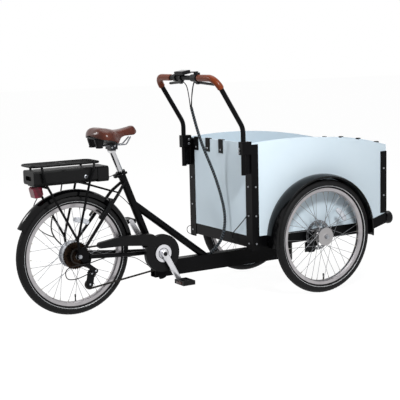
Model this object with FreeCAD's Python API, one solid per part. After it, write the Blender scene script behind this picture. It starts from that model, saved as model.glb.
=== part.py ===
import FreeCAD, Part
import math
import os

# Front-loading cargo tricycle. Lengths in millimetres, angles in degrees.
# The model is laid out from the rear axle: x forward, y to the rider's left, z up from the ground.
# When a piece is written out it is moved so that the origin lies under the middle of the tricycle.

# Fits
RUN_FIT = 0.05            # radial room of a shaft in its hole
TOUCH = 0.1               # room between faces that rest on each other

# Wheels, all three with 24 inch rims
WHEEL_BASE = 1288.0
TYRE_RADIUS = 305.0
TYRE_WIDTH = 52.0
BEAD_TAPER = 4.0          # how much the beads narrow into the rim
BEAD_RADIUS = 253.5       # half of the 507 mm bead seat
RIM_WIDTH = 32.0
RIM_WALL = 3.0
RIM_LIP = 6.0             # rim edge above the bead seat
RIM_DEPTH = 21.5          # rim edge down to the spoke bed
BRAKE_TRACK = 16.0        # rim edge down to the end of the flat side
RIM_BED = 14.0            # width of the spoke bed
SPOKES = 36
SPOKE_DIAMETER = 2.3
FLANGE = 4.0              # thickness of a spoke flange

# Rear hub motor, axle and cassette
REAR_SPACING = 135.0      # between the dropouts
AXLE_RADIUS = 6.0
MOTOR_RADIUS = 61.0
MOTOR_FLANGE_RADIUS = 69.0
MOTOR_RIGHT = 24.0        # motor face beside the cassette
MOTOR_LEFT = 28.0         # outer face of the left flange
MOTOR_COVER = 24.0        # depth of the domed left cover
FREEWHEEL_RADIUS = 17.0
REAR_CROSSING = 30.0      # turn of a spoke between hub and rim
OUTER_TEETH = (14, 16)    # sprockets outside the one the chain runs on
CHAIN_TEETH = 18
INNER_TEETH = (20, 22, 24, 34)
SPROCKET_TEETH = OUTER_TEETH + (CHAIN_TEETH,) + INNER_TEETH
SPROCKET_STEP = 5.0
SPROCKET_THICKNESS = 1.9
CASSETTE_BODY_RADIUS = 21.0

# Chain drive
LINK_PITCH = 12.7
CHAINRING_TEETH = 42
PULLEY_TEETH = 11
CHAIN_HEIGHT = 8.0
CHAIN_WIDTH = 6.8
CHAIN_GAP = 2.6           # between the inner plates, for the teeth
ROLLER_RADIUS = 3.8
GUIDE_PULLEY = (70.0, 209.0)
TENSION_PULLEY = (58.0, 154.0)

# Bottom bracket, crank and pedals
BRACKET_X = 466.0
BRACKET_Z = 268.0
BRACKET_RADIUS = 21.0
BRACKET_WIDTH = 73.0
SPINDLE_RADIUS = 8.5
CRANK_LENGTH = 170.0
CRANK_ANGLE = -61.0       # right crank, from forward, upwards
CRANK_INSET = 96.0        # inner face of a crank arm from the middle plane
CRANK_THICKNESS = 12.0
GUARD_RADIUS = 46.0       # bright disc between crank and chain case
PEDAL_SPINDLE_RADIUS = 5.0
PEDAL_LENGTH = 92.0       # across
PEDAL_WIDTH = 70.0        # fore and aft
PEDAL_THICKNESS = 22.0

# Chain case
CASE_RADIUS = 98.0
CASE_INNER = 60.0         # open inner edge from the middle plane
CASE_OUTER = 84.0
CASE_WALL = 2.0
CASE_ARM = ((115.0, 349.0, 15.0), (240.0, 357.0, 25.0), (400.0, 345.0, 30.0))
CASE_POST = (352.0, 334.0)
CASE_POST_RADIUS = 5.0
CASE_BRACKET = 2.0        # thickness of the plate that carries the case

# Frame tubes
SEAT_LEAN = 21.6          # seat tube from upright, backwards
SEAT_TUBE_RADIUS = 20.0
SEAT_TUBE_BEHIND = 17.0   # seat tube axis behind the bottom bracket
SEAT_TUBE_ABOVE = 468.0   # along the tube from bracket height to the collar
SEAT_TUBE_BELOW = 158.0
TUBE_WALL = 3.0
BEAM_BOTTOM = 130.0
BEAM_HEIGHT = 84.0
BEAM_WIDTH = 50.0
STRUT_RADIUS = 19.0
STRUT_TOP = 282.0         # up the seat tube
STRUT_FOOT_X = 757.0      # where the strut's axis meets the beam
CHAIN_STAY_RADIUS = 11.0
SEAT_STAY_RADIUS = 8.0
STAY_BEND = 60.0
DROPOUT = 7.0             # thickness of a dropout plate
BRIDGE_RADIUS = 6.0

# Steering head
KINGPIN_AHEAD = 16.0      # kingpin in front of the front axle
KINGPIN_RADIUS = 15.0
HEAD_RADIUS = 40.0
HEAD_BELOW = 12.0         # head tube below the beam
BEARING_RADIUS = 26.0
BEARING_HEIGHT = 14.0
HEAD_GAP = 16.0           # head tube top to the cart's cross member

# Cart frame and cargo box
BOX_REAR = 875.0
BOX_LENGTH = 904.0
BOX_WIDTH = 620.0
WHEEL_OUT = 58.5          # middle plane of a front wheel from the side of the box
TRACK = BOX_WIDTH + 2 * WHEEL_OUT
PANEL = 9.0
RAIL_BELOW_AXLE = 27.0
RAIL_HEIGHT = 60.0
RAIL_WIDTH = 30.0
RAIL_WALL = 2.5
KICK_LENGTH = 139.0       # front end of the rails that rises
KICK_RISE = 38.0
BOX_REAR_HEIGHT = 486.0   # panel top above the rails at the rear
BOX_MIDDLE_HEIGHT = 491.0
BOX_FRONT_HEIGHT = 422.0
FRONT_CROWN = 19.0        # rise of the front panel's top edge
CROSS_MEMBER = 90.0
POST_LEG = 40.0
REAR_POST_LEG = 54.0      # leg of a rear post across the rear panel
POST_WALL = 3.0
POST_SHORT = 6.0          # rear post below the panel's top
POST_DROP = 14.0          # rear post below the rails
FRONT_POST_SHORT = 37.0
HOOK_WIDTH = 22.0
REAR_HOOK_WIDTH = 40.0
HOOK_THICKNESS = 4.0
HOOK_LENGTH = 70.0
HOOK_INSIDE = 30.0
REAR_HOOKS = (78.0, 198.0, 330.0)  # from the left side of the box
FRONT_HOOKS = (75.0, 232.0)        # from each side of the box
BOLT_RADIUS = 5.0
BOLT_HEAD = 4.0

# Front wheels, axles and brakes; y here counts outwards from a wheel's middle plane
STUB_RADIUS = 7.5
STUB_SHOULDER = 10.0
AXLE_PLATE = 6.0
HUB_RADIUS = 18.0
HUB_OUTER = 34.0
INNER_FLANGE = 24.0
INNER_FLANGE_RADIUS = 30.0
OUTER_FLANGE = 24.0
OUTER_FLANGE_RADIUS = 48.0
FRONT_CROSSING = 55.0
ROTOR_INSET = 42.5
ROTOR_RADIUS = 80.0
ROTOR_RING = 15.0
ROTOR_THICKNESS = 2.0
ROTOR_ARMS = 6
ROTOR_SLOTS = 18
CALIPER_X = -53.0         # from the axle
CALIPER_Z = -62.0
CALIPER_SIZE = 50.0
CALIPER_OUT = 12.0        # caliper beyond the rotor
AXLE_NUT = 12.0

# Mudguards
MUDGUARD_RADIUS = 334.0
MUDGUARD_EDGE_DROP = 9.0
MUDGUARD_OUTWARD = 36.0   # outer edge from the wheel's middle plane
MUDGUARD_LIP = 9.0
MUDGUARD_WALL = 2.5
MUDGUARD_FROM = -5.0
MUDGUARD_TO = 185.0
REAR_MUDGUARD_RADIUS = 331.0
REAR_MUDGUARD_WIDTH = 60.0
REAR_MUDGUARD_DROP = 12.0
REAR_MUDGUARD_LIP = 18.0
REAR_MUDGUARD_FROM = 9.0
REAR_MUDGUARD_TO = 151.0

# Lamps
LAMP_RADIUS = 36.0
LAMP_INSET = 29.0         # lamp's middle from the side of the box
LAMP_BELOW_RAIL_TOP = 34.0
LAMP_STANDOFF = 5.0
LAMP_DEPTH = 40.0
LENS_DEPTH = 11.0

# Handlebar
BAR_RADIUS = 12.7
BAR_WALL = 2.0
BAR_INSET = 10.0          # upright part from the side of the box
BAR_SETBACK = 42.0        # upright part behind the rear panel
BAR_FOOT_Z = 663.0
BAR_BEND_Z = 905.0
BAR_REACH = 161.0         # rearward from the bend to the crossbar
BAR_TOP_Z = 1163.0
BAR_LOWER_BEND = 90.0
BAR_UPPER_BEND = 60.0
GRIP_RADIUS = 17.5
GRIP_ALONG_BAR = 100.0    # straight length on the crossbar
GRIP_DOWN_LEG = 2.0
CLAMP_HEIGHT = 67.0
CLAMP_TOP_Z = 835.0
CLAMP_WIDTH = 36.0
LEVER_DROOP = -40.0       # levers point forward and down by this angle
LEVER_PIVOT_OUT = 38.0    # lever pivot from the crossbar's axis
LEVER_PIVOT_Y = 92.0
LEVER_LENGTH = 130.0
LEVER_THICKNESS = 8.0
LEVER_PIN_RADIUS = 2.5
HOUSING_RADIUS = 19.0
HOUSING_WIDTH = 28.0
SHIFTER_Y = -118.0
DISPLAY_Y = 30.0
DISPLAY_SIZE = (50.0, 84.0, 18.0)
DISPLAY_TILT = 10.0
DISPLAY_ABOVE = 5.0       # above the crossbar

# Seat
POST_RADIUS = 15.0
POST_IN_TUBE = 150.0
POST_ABOVE_TUBE = 118.0
COLLAR_RADIUS = 25.0
COLLAR_HEIGHT = 22.0
SKEWER_BEHIND = 33.0
SKEWER_RADIUS = 4.0
QR_LEVER_LENGTH = 48.0
RAIL_WIRE_RADIUS = 3.5
RAIL_WIRE_Y = 22.0
SADDLE_RAIL_Z = 840.0
ELASTOMER_RADIUS = 15.0

# Rack and battery
RACK_REAR = -230.0
RACK_FRONT = 130.0
RACK_HALF_WIDTH = 70.0
RACK_Z = 768.0
RACK_WIRE_RADIUS = 6.0
RACK_SLAT_RADIUS = 5.0
RACK_STAY_RADIUS = 4.0
STRUT_OUT = 80.0          # struts beside the battery
BATTERY_REAR = -221.0
BATTERY_FRONT = 118.0
BATTERY_HALF_WIDTH = 66.0
BATTERY_BOTTOM = 676.0
BATTERY_HEIGHT = 68.0
CONTROLLER_FRONT = 181.0
DOCK_THICKNESS = 8.0
DOCK_HALF_WIDTH = 40.0

# Rim brake
BRAKE_PIVOT_Z = 477.0
BRAKE_ARM_LENGTH = 105.0
BRAKE_ARM_THICKNESS = 12.0
BRAKE_PAD_UP = 24.0
BRAKE_PAD_GAP = 2.5
BRAKE_PAD_LENGTH = 46.0
BRAKE_PAD_HEIGHT = 7.0
BRAKE_STUD_RADIUS = 4.0

# Cords
BUNDLE_RADIUS = 8.5
CABLE_RADIUS = 2.5

V = FreeCAD.Vector
ORIGIN = V(0, 0, 0)
ACROSS = V(0, 1, 0)
UP = V(0, 0, 1)
AXLE_Z = TYRE_RADIUS
FRONT_END = BOX_REAR + BOX_LENGTH + LAMP_STANDOFF + LAMP_DEPTH + LENS_DEPTH
MIDDLE_X = (FRONT_END - TYRE_RADIUS) / 2
nodes = {}


def rod(start, end, radius):
    """Round bar between two points."""
    along = end - start
    return Part.makeCylinder(radius, along.Length, start, along)


def block(x, y, z):
    """Rectangular block from (low, high) pairs."""
    return Part.makeBox(x[1] - x[0], y[1] - y[0], z[1] - z[0], V(x[0], y[0], z[0]))


def face_of(points):
    """Flat face inside a closed line of points."""
    return Part.Face(Part.makePolygon(points + points[:1]))


def slab(outline, y_low, y_high):
    """Plate between two upright planes, from (x, z) corners."""
    return face_of([V(x, y_low, z) for x, z in outline]).extrude(V(0, y_high - y_low, 0))


def turned(outline, angle=360):
    """Solid of revolution about the y axis, from (radius, y) corners."""
    return face_of([V(r, y, 0) for r, y in outline]).revolve(ORIGIN, ACROSS, angle)


def belt_wire(circles, y):
    """Closed line drawn tightly round circles (x, z, radius, side) in the order given, anticlockwise.

    side is 1 for a circle inside the loop and -1 for one that presses on it from outside.
    """
    count = len(circles)
    leave = []
    arrive = []
    for i in range(count):
        x1, z1, r1, s1 = circles[i]
        x2, z2, r2, s2 = circles[(i + 1) % count]
        apart = math.hypot(x2 - x1, z2 - z1)
        turn = math.atan2(z2 - z1, x2 - x1) - math.acos((s1 * r1 - s2 * r2) / apart)
        leave.append((x1 + s1 * r1 * math.cos(turn), z1 + s1 * r1 * math.sin(turn)))
        arrive.append((x2 + s2 * r2 * math.cos(turn), z2 + s2 * r2 * math.sin(turn)))
    edges = []
    for i in range(count):
        x, z, radius, side = circles[i]
        start = arrive[i - 1]
        end = leave[i]
        first = math.atan2(start[1] - z, start[0] - x)
        last = math.atan2(end[1] - z, end[0] - x)
        half = side * ((side * (last - first)) % (2 * math.pi)) / 2
        middle = (x + radius * math.cos(first + half), z + radius * math.sin(first + half))
        edges.append(Part.Arc(V(start[0], y, start[1]), V(middle[0], y, middle[1]), V(end[0], y, end[1])).toShape())
        after = arrive[i]
        edges.append(Part.LineSegment(V(end[0], y, end[1]), V(after[0], y, after[1])).toShape())
    return Part.Wire(edges)


def link(circles, y_low, y_high):
    """Plate whose outline is drawn tightly round circles (x, z, radius)."""
    wire = belt_wire([(x, z, r, 1) for x, z, r in circles], y_low)
    return Part.Face(wire).extrude(V(0, y_high - y_low, 0))


def chain_of_links(circles, y_low, y_high):
    """Plate made of the outlines drawn round each circle and the next."""
    plates = [link(list(two), y_low, y_high) for two in zip(circles, circles[1:])]
    return plates[0].multiFuse(plates[1:]).removeSplitter()


def bent_path(points, bend):
    """Straight runs through the points, with a tangent arc of radius bend at each inner point."""
    return arc_path(points, [bend] * (len(points) - 2))


def arc_path(points, bends):
    """Straight runs through the points, with one tangent arc per inner point."""
    edges = []
    start = points[0]
    for before, corner, after, bend in zip(points, points[1:], points[2:], bends):
        back = (before - corner).normalize()
        ahead = (after - corner).normalize()
        half = back.getAngle(ahead) / 2
        first = corner + back * (bend / math.tan(half))
        last = corner + ahead * (bend / math.tan(half))
        inward = (back + ahead).normalize()
        middle = corner + inward * (bend / math.sin(half) - bend)
        edges.append(Part.LineSegment(start, first).toShape())
        edges.append(Part.Arc(first, middle, last).toShape())
        start = last
    edges.append(Part.LineSegment(start, points[-1]).toShape())
    return Part.Wire(edges)


def swept(path, radius):
    """Round bar along a line of runs and arcs."""
    first = path.OrderedEdges[0]
    start = first.valueAt(first.FirstParameter)
    ring = Part.Wire(Part.makeCircle(radius, start, first.tangentAt(first.FirstParameter)))
    return path.makePipeShell([ring], True, False)


def cord(points, radius):
    """Cord through points: each arc takes 0.45 of the shorter run beside it."""
    bends = []
    for before, corner, after in zip(points, points[1:], points[2:]):
        back = before - corner
        ahead = after - corner
        reach = 0.45 * min(back.Length, ahead.Length)
        bends.append(reach * math.tan(back.getAngle(ahead) / 2))
    print("cord radius", radius, "bends", [round(b) for b in bends])
    return swept(arc_path(points, bends), radius)


def prism(start, end, radius, sides):
    """Straight bar with a regular polygon as its section."""
    along = (end - start).normalize()
    side = along.cross(UP if abs(along.z) < 0.9 else ACROSS).normalize()
    other = along.cross(side)
    corners = []
    for k in range(sides):
        angle = 2 * math.pi * k / sides
        corners.append(start + side * (radius * math.cos(angle)) + other * (radius * math.sin(angle)))
    return face_of(corners).extrude(end - start)


def mirrored(shape):
    """The same piece on the other side of the tricycle."""
    return shape.mirror(ORIGIN, ACROSS)


def pair(shape):
    """A piece for the left side and its mirror image for the right."""
    return [shape, mirrored(shape)]


def moved(shape, x, y, z):
    """Copy of a shape shifted by x, y, z."""
    copy = shape.copy()
    copy.translate(V(x, y, z))
    return copy


def on_wheel(radius, angle, y):
    """Point at a radius and angle round a wheel's axle."""
    return V(radius * math.cos(angle), y, radius * math.sin(angle))


def pitch_radius(teeth):
    """Radius at which a roller chain's pins lie on a sprocket."""
    return LINK_PITCH / (2 * math.sin(math.pi / teeth))


def toothed_plate(teeth, y, thickness, bore):
    """Sprocket plate with pointed teeth about the y axis."""
    root = pitch_radius(teeth) - ROLLER_RADIUS
    tip = pitch_radius(teeth) + ROLLER_RADIUS * 0.75
    corners = []
    for k in range(teeth):
        middle = 2 * math.pi * k / teeth
        for radius, offset in ((root, -0.5), (tip, 0.0)):
            angle = middle + offset * 2 * math.pi / teeth
            corners.append(on_wheel(radius, angle, y - thickness / 2))
    plate = face_of(corners).extrude(V(0, thickness, 0))
    return plate.cut(rod(V(0, y - thickness, 0), V(0, y + thickness, 0), bore))


def in_local(shape, origin, x_axis, y_axis):
    """Place a shape drawn in local axes at a point, along two given directions."""
    z_axis = x_axis.cross(y_axis)
    matrix = FreeCAD.Matrix(
        x_axis.x, y_axis.x, z_axis.x, origin.x,
        x_axis.y, y_axis.y, z_axis.y, origin.y,
        x_axis.z, y_axis.z, z_axis.z, origin.z,
        0, 0, 0, 1,
    )
    copy = shape.copy()
    copy.Placement = FreeCAD.Placement(matrix).multiply(copy.Placement)
    return copy


# Wheels

RIM_EDGE = BEAD_RADIUS + RIM_LIP
SPOKE_BED = RIM_EDGE - RIM_DEPTH


def make_tyre():
    """Tyre filled by its tube: round crown, bulging sidewalls, beads that narrow into the rim."""
    half = TYRE_WIDTH / 2
    crown = TYRE_RADIUS - half
    bead = RIM_WIDTH / 2 - RIM_WALL - TOUCH
    foot = bead - BEAD_TAPER
    edge = RIM_EDGE + 2 * TOUCH
    bulge = 0.08 * math.hypot(crown - edge, half - bead)
    lean = math.atan2(half - bead, crown - edge)
    wall_x = (edge + crown) / 2 - bulge * math.sin(lean)
    wall_y = (bead + half) / 2 + bulge * math.cos(lean)
    shoulder = half * math.sqrt(0.5)
    edges = [
        Part.LineSegment(V(BEAD_RADIUS, foot, 0), V(edge, bead, 0)),
        Part.Arc(V(edge, bead, 0), V(wall_x, wall_y, 0), V(crown, half, 0)),
        Part.Arc(V(crown, half, 0), V(crown + shoulder, shoulder, 0), V(TYRE_RADIUS, 0, 0)),
        Part.Arc(V(TYRE_RADIUS, 0, 0), V(crown + shoulder, -shoulder, 0), V(crown, -half, 0)),
        Part.Arc(V(crown, -half, 0), V(wall_x, -wall_y, 0), V(edge, -bead, 0)),
        Part.LineSegment(V(edge, -bead, 0), V(BEAD_RADIUS, -foot, 0)),
        Part.LineSegment(V(BEAD_RADIUS, -foot, 0), V(BEAD_RADIUS, foot, 0)),
    ]
    section = Part.Face(Part.Wire([edge.toShape() for edge in edges]))
    return section.revolve(ORIGIN, ACROSS, 360)


def make_rim():
    """Box-section rim with a flat channel for the tyre."""
    half = RIM_WIDTH / 2
    channel = half - RIM_WALL
    floor = BEAD_RADIUS - TOUCH
    shoulder = RIM_EDGE - BRAKE_TRACK
    return turned([
        (RIM_EDGE, half), (shoulder, half), (SPOKE_BED, RIM_BED / 2),
        (SPOKE_BED, -RIM_BED / 2), (shoulder, -half), (RIM_EDGE, -half),
        (RIM_EDGE, -channel), (floor, -channel), (floor, channel), (RIM_EDGE, channel),
    ])


def make_spokes(right_flange, right_radius, left_flange, left_radius, crossing):
    """Tangent-laced spokes: on each flange every second spoke leans the other way."""
    wires = []
    radius = SPOKE_DIAMETER / 2
    for side, flange_y, flange_radius in ((-1, right_flange, right_radius), (1, left_flange, left_radius)):
        for k in range(SPOKES // 2):
            lean = 1 if k % 2 else -1
            at_rim = 2 * math.pi * (2 * k + (side + 1) / 2) / SPOKES
            at_hub = at_rim + lean * math.radians(crossing)
            hub_end = on_wheel(flange_radius + 3 * TOUCH, at_hub, flange_y + lean * FLANGE / 2)
            rim_end = on_wheel(SPOKE_BED - radius / 2, at_rim, side * RIM_BED / 4)
            wires.append(prism(hub_end, rim_end, radius, 6))
    return wires


def make_motor():
    """Hub motor shell with two spoke flanges, a domed left cover and the freewheel boss."""
    bore = AXLE_RADIUS + RUN_FIT
    boss_end = REAR_SPACING / 2 - 5.5
    cover = MOTOR_LEFT + MOTOR_COVER
    return turned([
        (bore, -boss_end), (FREEWHEEL_RADIUS, -boss_end), (FREEWHEEL_RADIUS, -MOTOR_RIGHT),
        (MOTOR_FLANGE_RADIUS, -MOTOR_RIGHT), (MOTOR_FLANGE_RADIUS, FLANGE - MOTOR_RIGHT),
        (MOTOR_RADIUS, FLANGE - MOTOR_RIGHT), (MOTOR_RADIUS, MOTOR_LEFT - FLANGE),
        (MOTOR_FLANGE_RADIUS, MOTOR_LEFT - FLANGE), (MOTOR_FLANGE_RADIUS, MOTOR_LEFT),
        (MOTOR_RADIUS, MOTOR_LEFT + 2), (MOTOR_RADIUS - 8, MOTOR_LEFT + MOTOR_COVER / 2),
        (FREEWHEEL_RADIUS + 5, cover), (FREEWHEEL_RADIUS + 5, cover + 6), (bore, cover + 6),
    ])


tyre = make_tyre()
rim = make_rim()
nodes["rear_tyre"] = moved(tyre, 0, 0, AXLE_Z)
nodes["rear_rim"] = moved(rim, 0, 0, AXLE_Z)
rear_spokes = make_spokes(
    FLANGE / 2 - MOTOR_RIGHT, MOTOR_FLANGE_RADIUS, MOTOR_LEFT - FLANGE / 2, MOTOR_FLANGE_RADIUS, REAR_CROSSING
)
nodes["hub_motor"] = [moved(piece, 0, 0, AXLE_Z) for piece in [make_motor()] + rear_spokes]

# Front hub, drawn for the left side with y outwards from the wheel's middle plane
hub_inner = ROTOR_INSET - ROTOR_THICKNESS / 2
hub_bore = STUB_RADIUS + RUN_FIT
front_hub = turned([
    (hub_bore, -hub_inner), (HUB_RADIUS, -hub_inner), (HUB_RADIUS, -INNER_FLANGE - FLANGE / 2),
    (INNER_FLANGE_RADIUS, -INNER_FLANGE - FLANGE / 2), (INNER_FLANGE_RADIUS, FLANGE / 2 - INNER_FLANGE),
    (HUB_RADIUS, FLANGE / 2 - INNER_FLANGE), (HUB_RADIUS, OUTER_FLANGE - FLANGE / 2),
    (OUTER_FLANGE_RADIUS, OUTER_FLANGE - FLANGE / 2), (OUTER_FLANGE_RADIUS, OUTER_FLANGE + FLANGE / 2),
    (HUB_RADIUS + 6, HUB_OUTER - 3), (HUB_RADIUS, HUB_OUTER), (hub_bore, HUB_OUTER),
])


def make_rotor():
    """Brake disc: slotted outer ring, slanted arms and a hub ring."""
    y = -ROTOR_INSET - ROTOR_THICKNESS / 2
    inner = ROTOR_RADIUS - ROTOR_RING
    top = V(0, ROTOR_THICKNESS, 0)
    ring = Part.makeCylinder(ROTOR_RADIUS, ROTOR_THICKNESS, V(0, y, 0), ACROSS)
    ring = ring.cut(Part.makeCylinder(inner, ROTOR_THICKNESS, V(0, y, 0), ACROSS))
    carrier = Part.makeCylinder(INNER_FLANGE_RADIUS, ROTOR_THICKNESS, V(0, y, 0), ACROSS)
    carrier = carrier.cut(Part.makeCylinder(STUB_SHOULDER + 2, ROTOR_THICKNESS, V(0, y, 0), ACROSS))
    pieces = [carrier]
    for k in range(ROTOR_ARMS):
        low = 2 * math.pi * k / ROTOR_ARMS
        high = low + math.radians(35)
        corners = [
            on_wheel(INNER_FLANGE_RADIUS - 3, low - 0.16, y), on_wheel(INNER_FLANGE_RADIUS - 3, low + 0.16, y),
            on_wheel(inner + 3, high + 0.07, y), on_wheel(inner + 3, high - 0.07, y),
        ]
        pieces.append(face_of(corners).extrude(top))
    disc = ring.multiFuse(pieces)
    slots = []
    for k in range(ROTOR_SLOTS):
        angle = 2 * math.pi * (k + 0.5) / ROTOR_SLOTS
        corners = [
            on_wheel(inner + 4, angle - 0.05, y), on_wheel(inner + 4, angle + 0.02, y),
            on_wheel(ROTOR_RADIUS - 4, angle + 0.05, y), on_wheel(ROTOR_RADIUS - 4, angle - 0.02, y),
        ]
        slots.append(face_of(corners).extrude(top))
    return disc.cut(Part.makeCompound(slots))


rotor = make_rotor()
front_spokes = make_spokes(
    -INNER_FLANGE, INNER_FLANGE_RADIUS, OUTER_FLANGE, OUTER_FLANGE_RADIUS, FRONT_CROSSING
)
for side in ("left", "right"):
    wheel = {
        "front_tyre_": tyre, "front_rim_": rim,
        "front_hub_": Part.makeCompound([front_hub, rotor] + front_spokes),
    }
    for name, shape in wheel.items():
        placed = moved(shape, WHEEL_BASE, TRACK / 2, AXLE_Z)
        nodes[name + side] = placed if side == "left" else mirrored(placed)

# Cassette on the freewheel boss
chain_place = len(OUTER_TEETH)
chain_y = SPROCKET_STEP * chain_place - REAR_SPACING / 2 + 7.5
sprockets = []
for i, teeth in enumerate(SPROCKET_TEETH):
    y = SPROCKET_STEP * (i - chain_place) + chain_y
    sprockets.append(toothed_plate(teeth, y, SPROCKET_THICKNESS, FREEWHEEL_RADIUS + RUN_FIT))
body_from = chain_y - SPROCKET_STEP * chain_place - 2
body_to = body_from + SPROCKET_STEP * (len(SPROCKET_TEETH) - 1) + 4
cassette = rod(V(0, body_from, 0), V(0, body_to, 0), CASSETTE_BODY_RADIUS)
cassette = cassette.cut(rod(V(0, body_from, 0), V(0, body_to, 0), FREEWHEEL_RADIUS + RUN_FIT))
nodes["cassette"] = moved(cassette.multiFuse(sprockets), 0, 0, AXLE_Z)

# Rear axle with its lock rings and nuts
half_space = REAR_SPACING / 2
nut_end = half_space + DROPOUT + 9
axle = rod(V(0, -nut_end - 5, AXLE_Z), V(0, nut_end + 5, AXLE_Z), AXLE_RADIUS)
for low, high, radius in (
    (-half_space + TOUCH, -half_space + 5.2, 10.0),
    (MOTOR_LEFT + MOTOR_COVER + 6.3, half_space - TOUCH, 10.0),
):
    axle = axle.fuse(rod(V(0, low, AXLE_Z), V(0, high, AXLE_Z), radius))
for side in (-1, 1):
    start = V(0, side * (half_space + DROPOUT + TOUCH), AXLE_Z)
    axle = axle.fuse(prism(start, V(0, side * nut_end, AXLE_Z), 11, 6))
nodes["rear_axle"] = axle

# Seat tube, bottom bracket shell, beam, head tube and strut
LEAN = math.radians(SEAT_LEAN)
seat_up = V(-math.sin(LEAN), 0, math.cos(LEAN))
seat_ahead = V(math.cos(LEAN), 0, math.sin(LEAN))
seat_base = V(BRACKET_X - SEAT_TUBE_BEHIND, 0, BRACKET_Z)


def up_seat(distance):
    """Point on the seat tube's axis, along the tube from bottom bracket height."""
    return seat_base + seat_up * distance


bracket = V(BRACKET_X, 0, BRACKET_Z)
bracket_end = V(0, BRACKET_WIDTH / 2, 0)
bearing_width = 12.0
seat_outer = rod(up_seat(-SEAT_TUBE_BELOW), up_seat(SEAT_TUBE_ABOVE), SEAT_TUBE_RADIUS)
shell_outer = rod(bracket - bracket_end, bracket + bracket_end, BRACKET_RADIUS)
post_bore = rod(up_seat(SEAT_TUBE_ABOVE - POST_IN_TUBE * 1.9), up_seat(SEAT_TUBE_ABOVE + 1), POST_RADIUS + RUN_FIT)
shell_bore = rod(bracket - bracket_end, bracket + bracket_end, BRACKET_RADIUS - TUBE_WALL)
seat_tube = seat_outer.fuse(shell_outer).cut(post_bore).cut(shell_bore)

cups = []
for side in (-1, 1):
    outside = bracket + bracket_end * side
    inside = outside - V(0, side * bearing_width, 0)
    ring = rod(inside, outside, BRACKET_RADIUS - TUBE_WALL - TOUCH)
    cups.append(ring.cut(rod(inside, outside, SPINDLE_RADIUS + RUN_FIT)))
nodes["seat_tube"] = [seat_tube] + cups

KINGPIN_X = WHEEL_BASE + KINGPIN_AHEAD
RAIL_BOTTOM = AXLE_Z - RAIL_BELOW_AXLE
RAIL_TOP = RAIL_BOTTOM + RAIL_HEIGHT
HEAD_BOTTOM = BEAM_BOTTOM - HEAD_BELOW
HEAD_TOP = RAIL_BOTTOM - HEAD_GAP
BEAM_TOP = BEAM_BOTTOM + BEAM_HEIGHT


def on_kingpin(z):
    """Point on the steering axis."""
    return V(KINGPIN_X, 0, z)


head_outer = rod(on_kingpin(HEAD_BOTTOM), on_kingpin(HEAD_TOP), HEAD_RADIUS)
beam_span = (seat_base.x, KINGPIN_X)
beam = block(beam_span, (-BEAM_WIDTH / 2, BEAM_WIDTH / 2), (BEAM_BOTTOM, BEAM_TOP))
hollow = block(
    beam_span,
    (TUBE_WALL - BEAM_WIDTH / 2, BEAM_WIDTH / 2 - TUBE_WALL),
    (BEAM_BOTTOM + TUBE_WALL, BEAM_TOP - TUBE_WALL),
)
beam = beam.cut(hollow).cut(seat_outer).cut(shell_outer)
beam = max(beam.Solids, key=lambda solid: solid.BoundBox.XMax)
head = head_outer
for low, high in ((HEAD_BOTTOM, HEAD_BOTTOM + BEARING_HEIGHT), (HEAD_TOP - BEARING_HEIGHT, HEAD_TOP)):
    head = head.cut(rod(on_kingpin(low), on_kingpin(high), BEARING_RADIUS + TOUCH))
head = head.cut(rod(on_kingpin(HEAD_BOTTOM), on_kingpin(HEAD_TOP), KINGPIN_RADIUS + 4))
nodes["main_beam"] = beam.cut(head_outer).fuse(head)

bearings = []
for low in (HEAD_BOTTOM, HEAD_TOP - BEARING_HEIGHT):
    ring = rod(on_kingpin(low), on_kingpin(low + BEARING_HEIGHT), BEARING_RADIUS)
    bearings.append(ring.cut(rod(on_kingpin(low), on_kingpin(low + BEARING_HEIGHT), KINGPIN_RADIUS + RUN_FIT)))
nodes["head_bearings"] = bearings

strut_top = up_seat(STRUT_TOP)
strut_foot = V(STRUT_FOOT_X, 0, BEAM_TOP)
strut_down = (strut_foot - strut_top).normalize() * STRUT_RADIUS * 2
strut = rod(strut_top, strut_foot + strut_down, STRUT_RADIUS)
strut = strut.cut(rod(strut_top, strut_foot + strut_down, STRUT_RADIUS - TUBE_WALL))
above_beam = block((0, KINGPIN_X), (-BEAM_WIDTH, BEAM_WIDTH), (BEAM_TOP, BEAM_TOP + 2 * SEAT_TUBE_ABOVE))
strut = strut.cut(seat_outer).common(above_beam)
nodes["down_strut"] = max(strut.Solids, key=lambda solid: solid.Volume)

# Rear stays with their dropout plates, and the bridge that carries the mudguard
dropout_y = half_space + DROPOUT / 2
dropout_outline = [
    (-14, -12), (-14, 12), (-10, 30), (8, 32), (18, 44), (34, 45), (44, 18), (64, 6), (64, -16), (44, -20), (8, -17),
]
hanger_outline = dropout_outline[:8] + [(62, -22), (54, -50), (40, -60), (28, -50), (8, -17)]
stay_rear_z = AXLE_Z - 6
stay_cut = rod(V(0, -nut_end, AXLE_Z), V(0, nut_end, AXLE_Z), AXLE_RADIUS + RUN_FIT)
plates = []
for side, outline in ((1, dropout_outline), (-1, hanger_outline)):
    corners = [(x, z + AXLE_Z) for x, z in outline]
    y_low = half_space if side > 0 else -half_space - DROPOUT
    plates.append(slab(corners, y_low, y_low + DROPOUT).cut(stay_cut))
seat_stay_top = up_seat(SEAT_TUBE_ABOVE - 56) + V(0, 14, 0)
seat_stay_foot = V(30, dropout_y, AXLE_Z + 36)
seat_stay_bend = V(244, 44, AXLE_Z + 295)
chain_stay = swept(bent_path([
    V(52, dropout_y, stay_rear_z), V(285, 43, AXLE_Z - 28), V(BRACKET_X - 20, 20, BRACKET_Z)
], STAY_BEND), CHAIN_STAY_RADIUS)
seat_stay = swept(bent_path([seat_stay_foot, seat_stay_bend, seat_stay_top], STAY_BEND), SEAT_STAY_RADIUS)
stays = []
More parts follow.
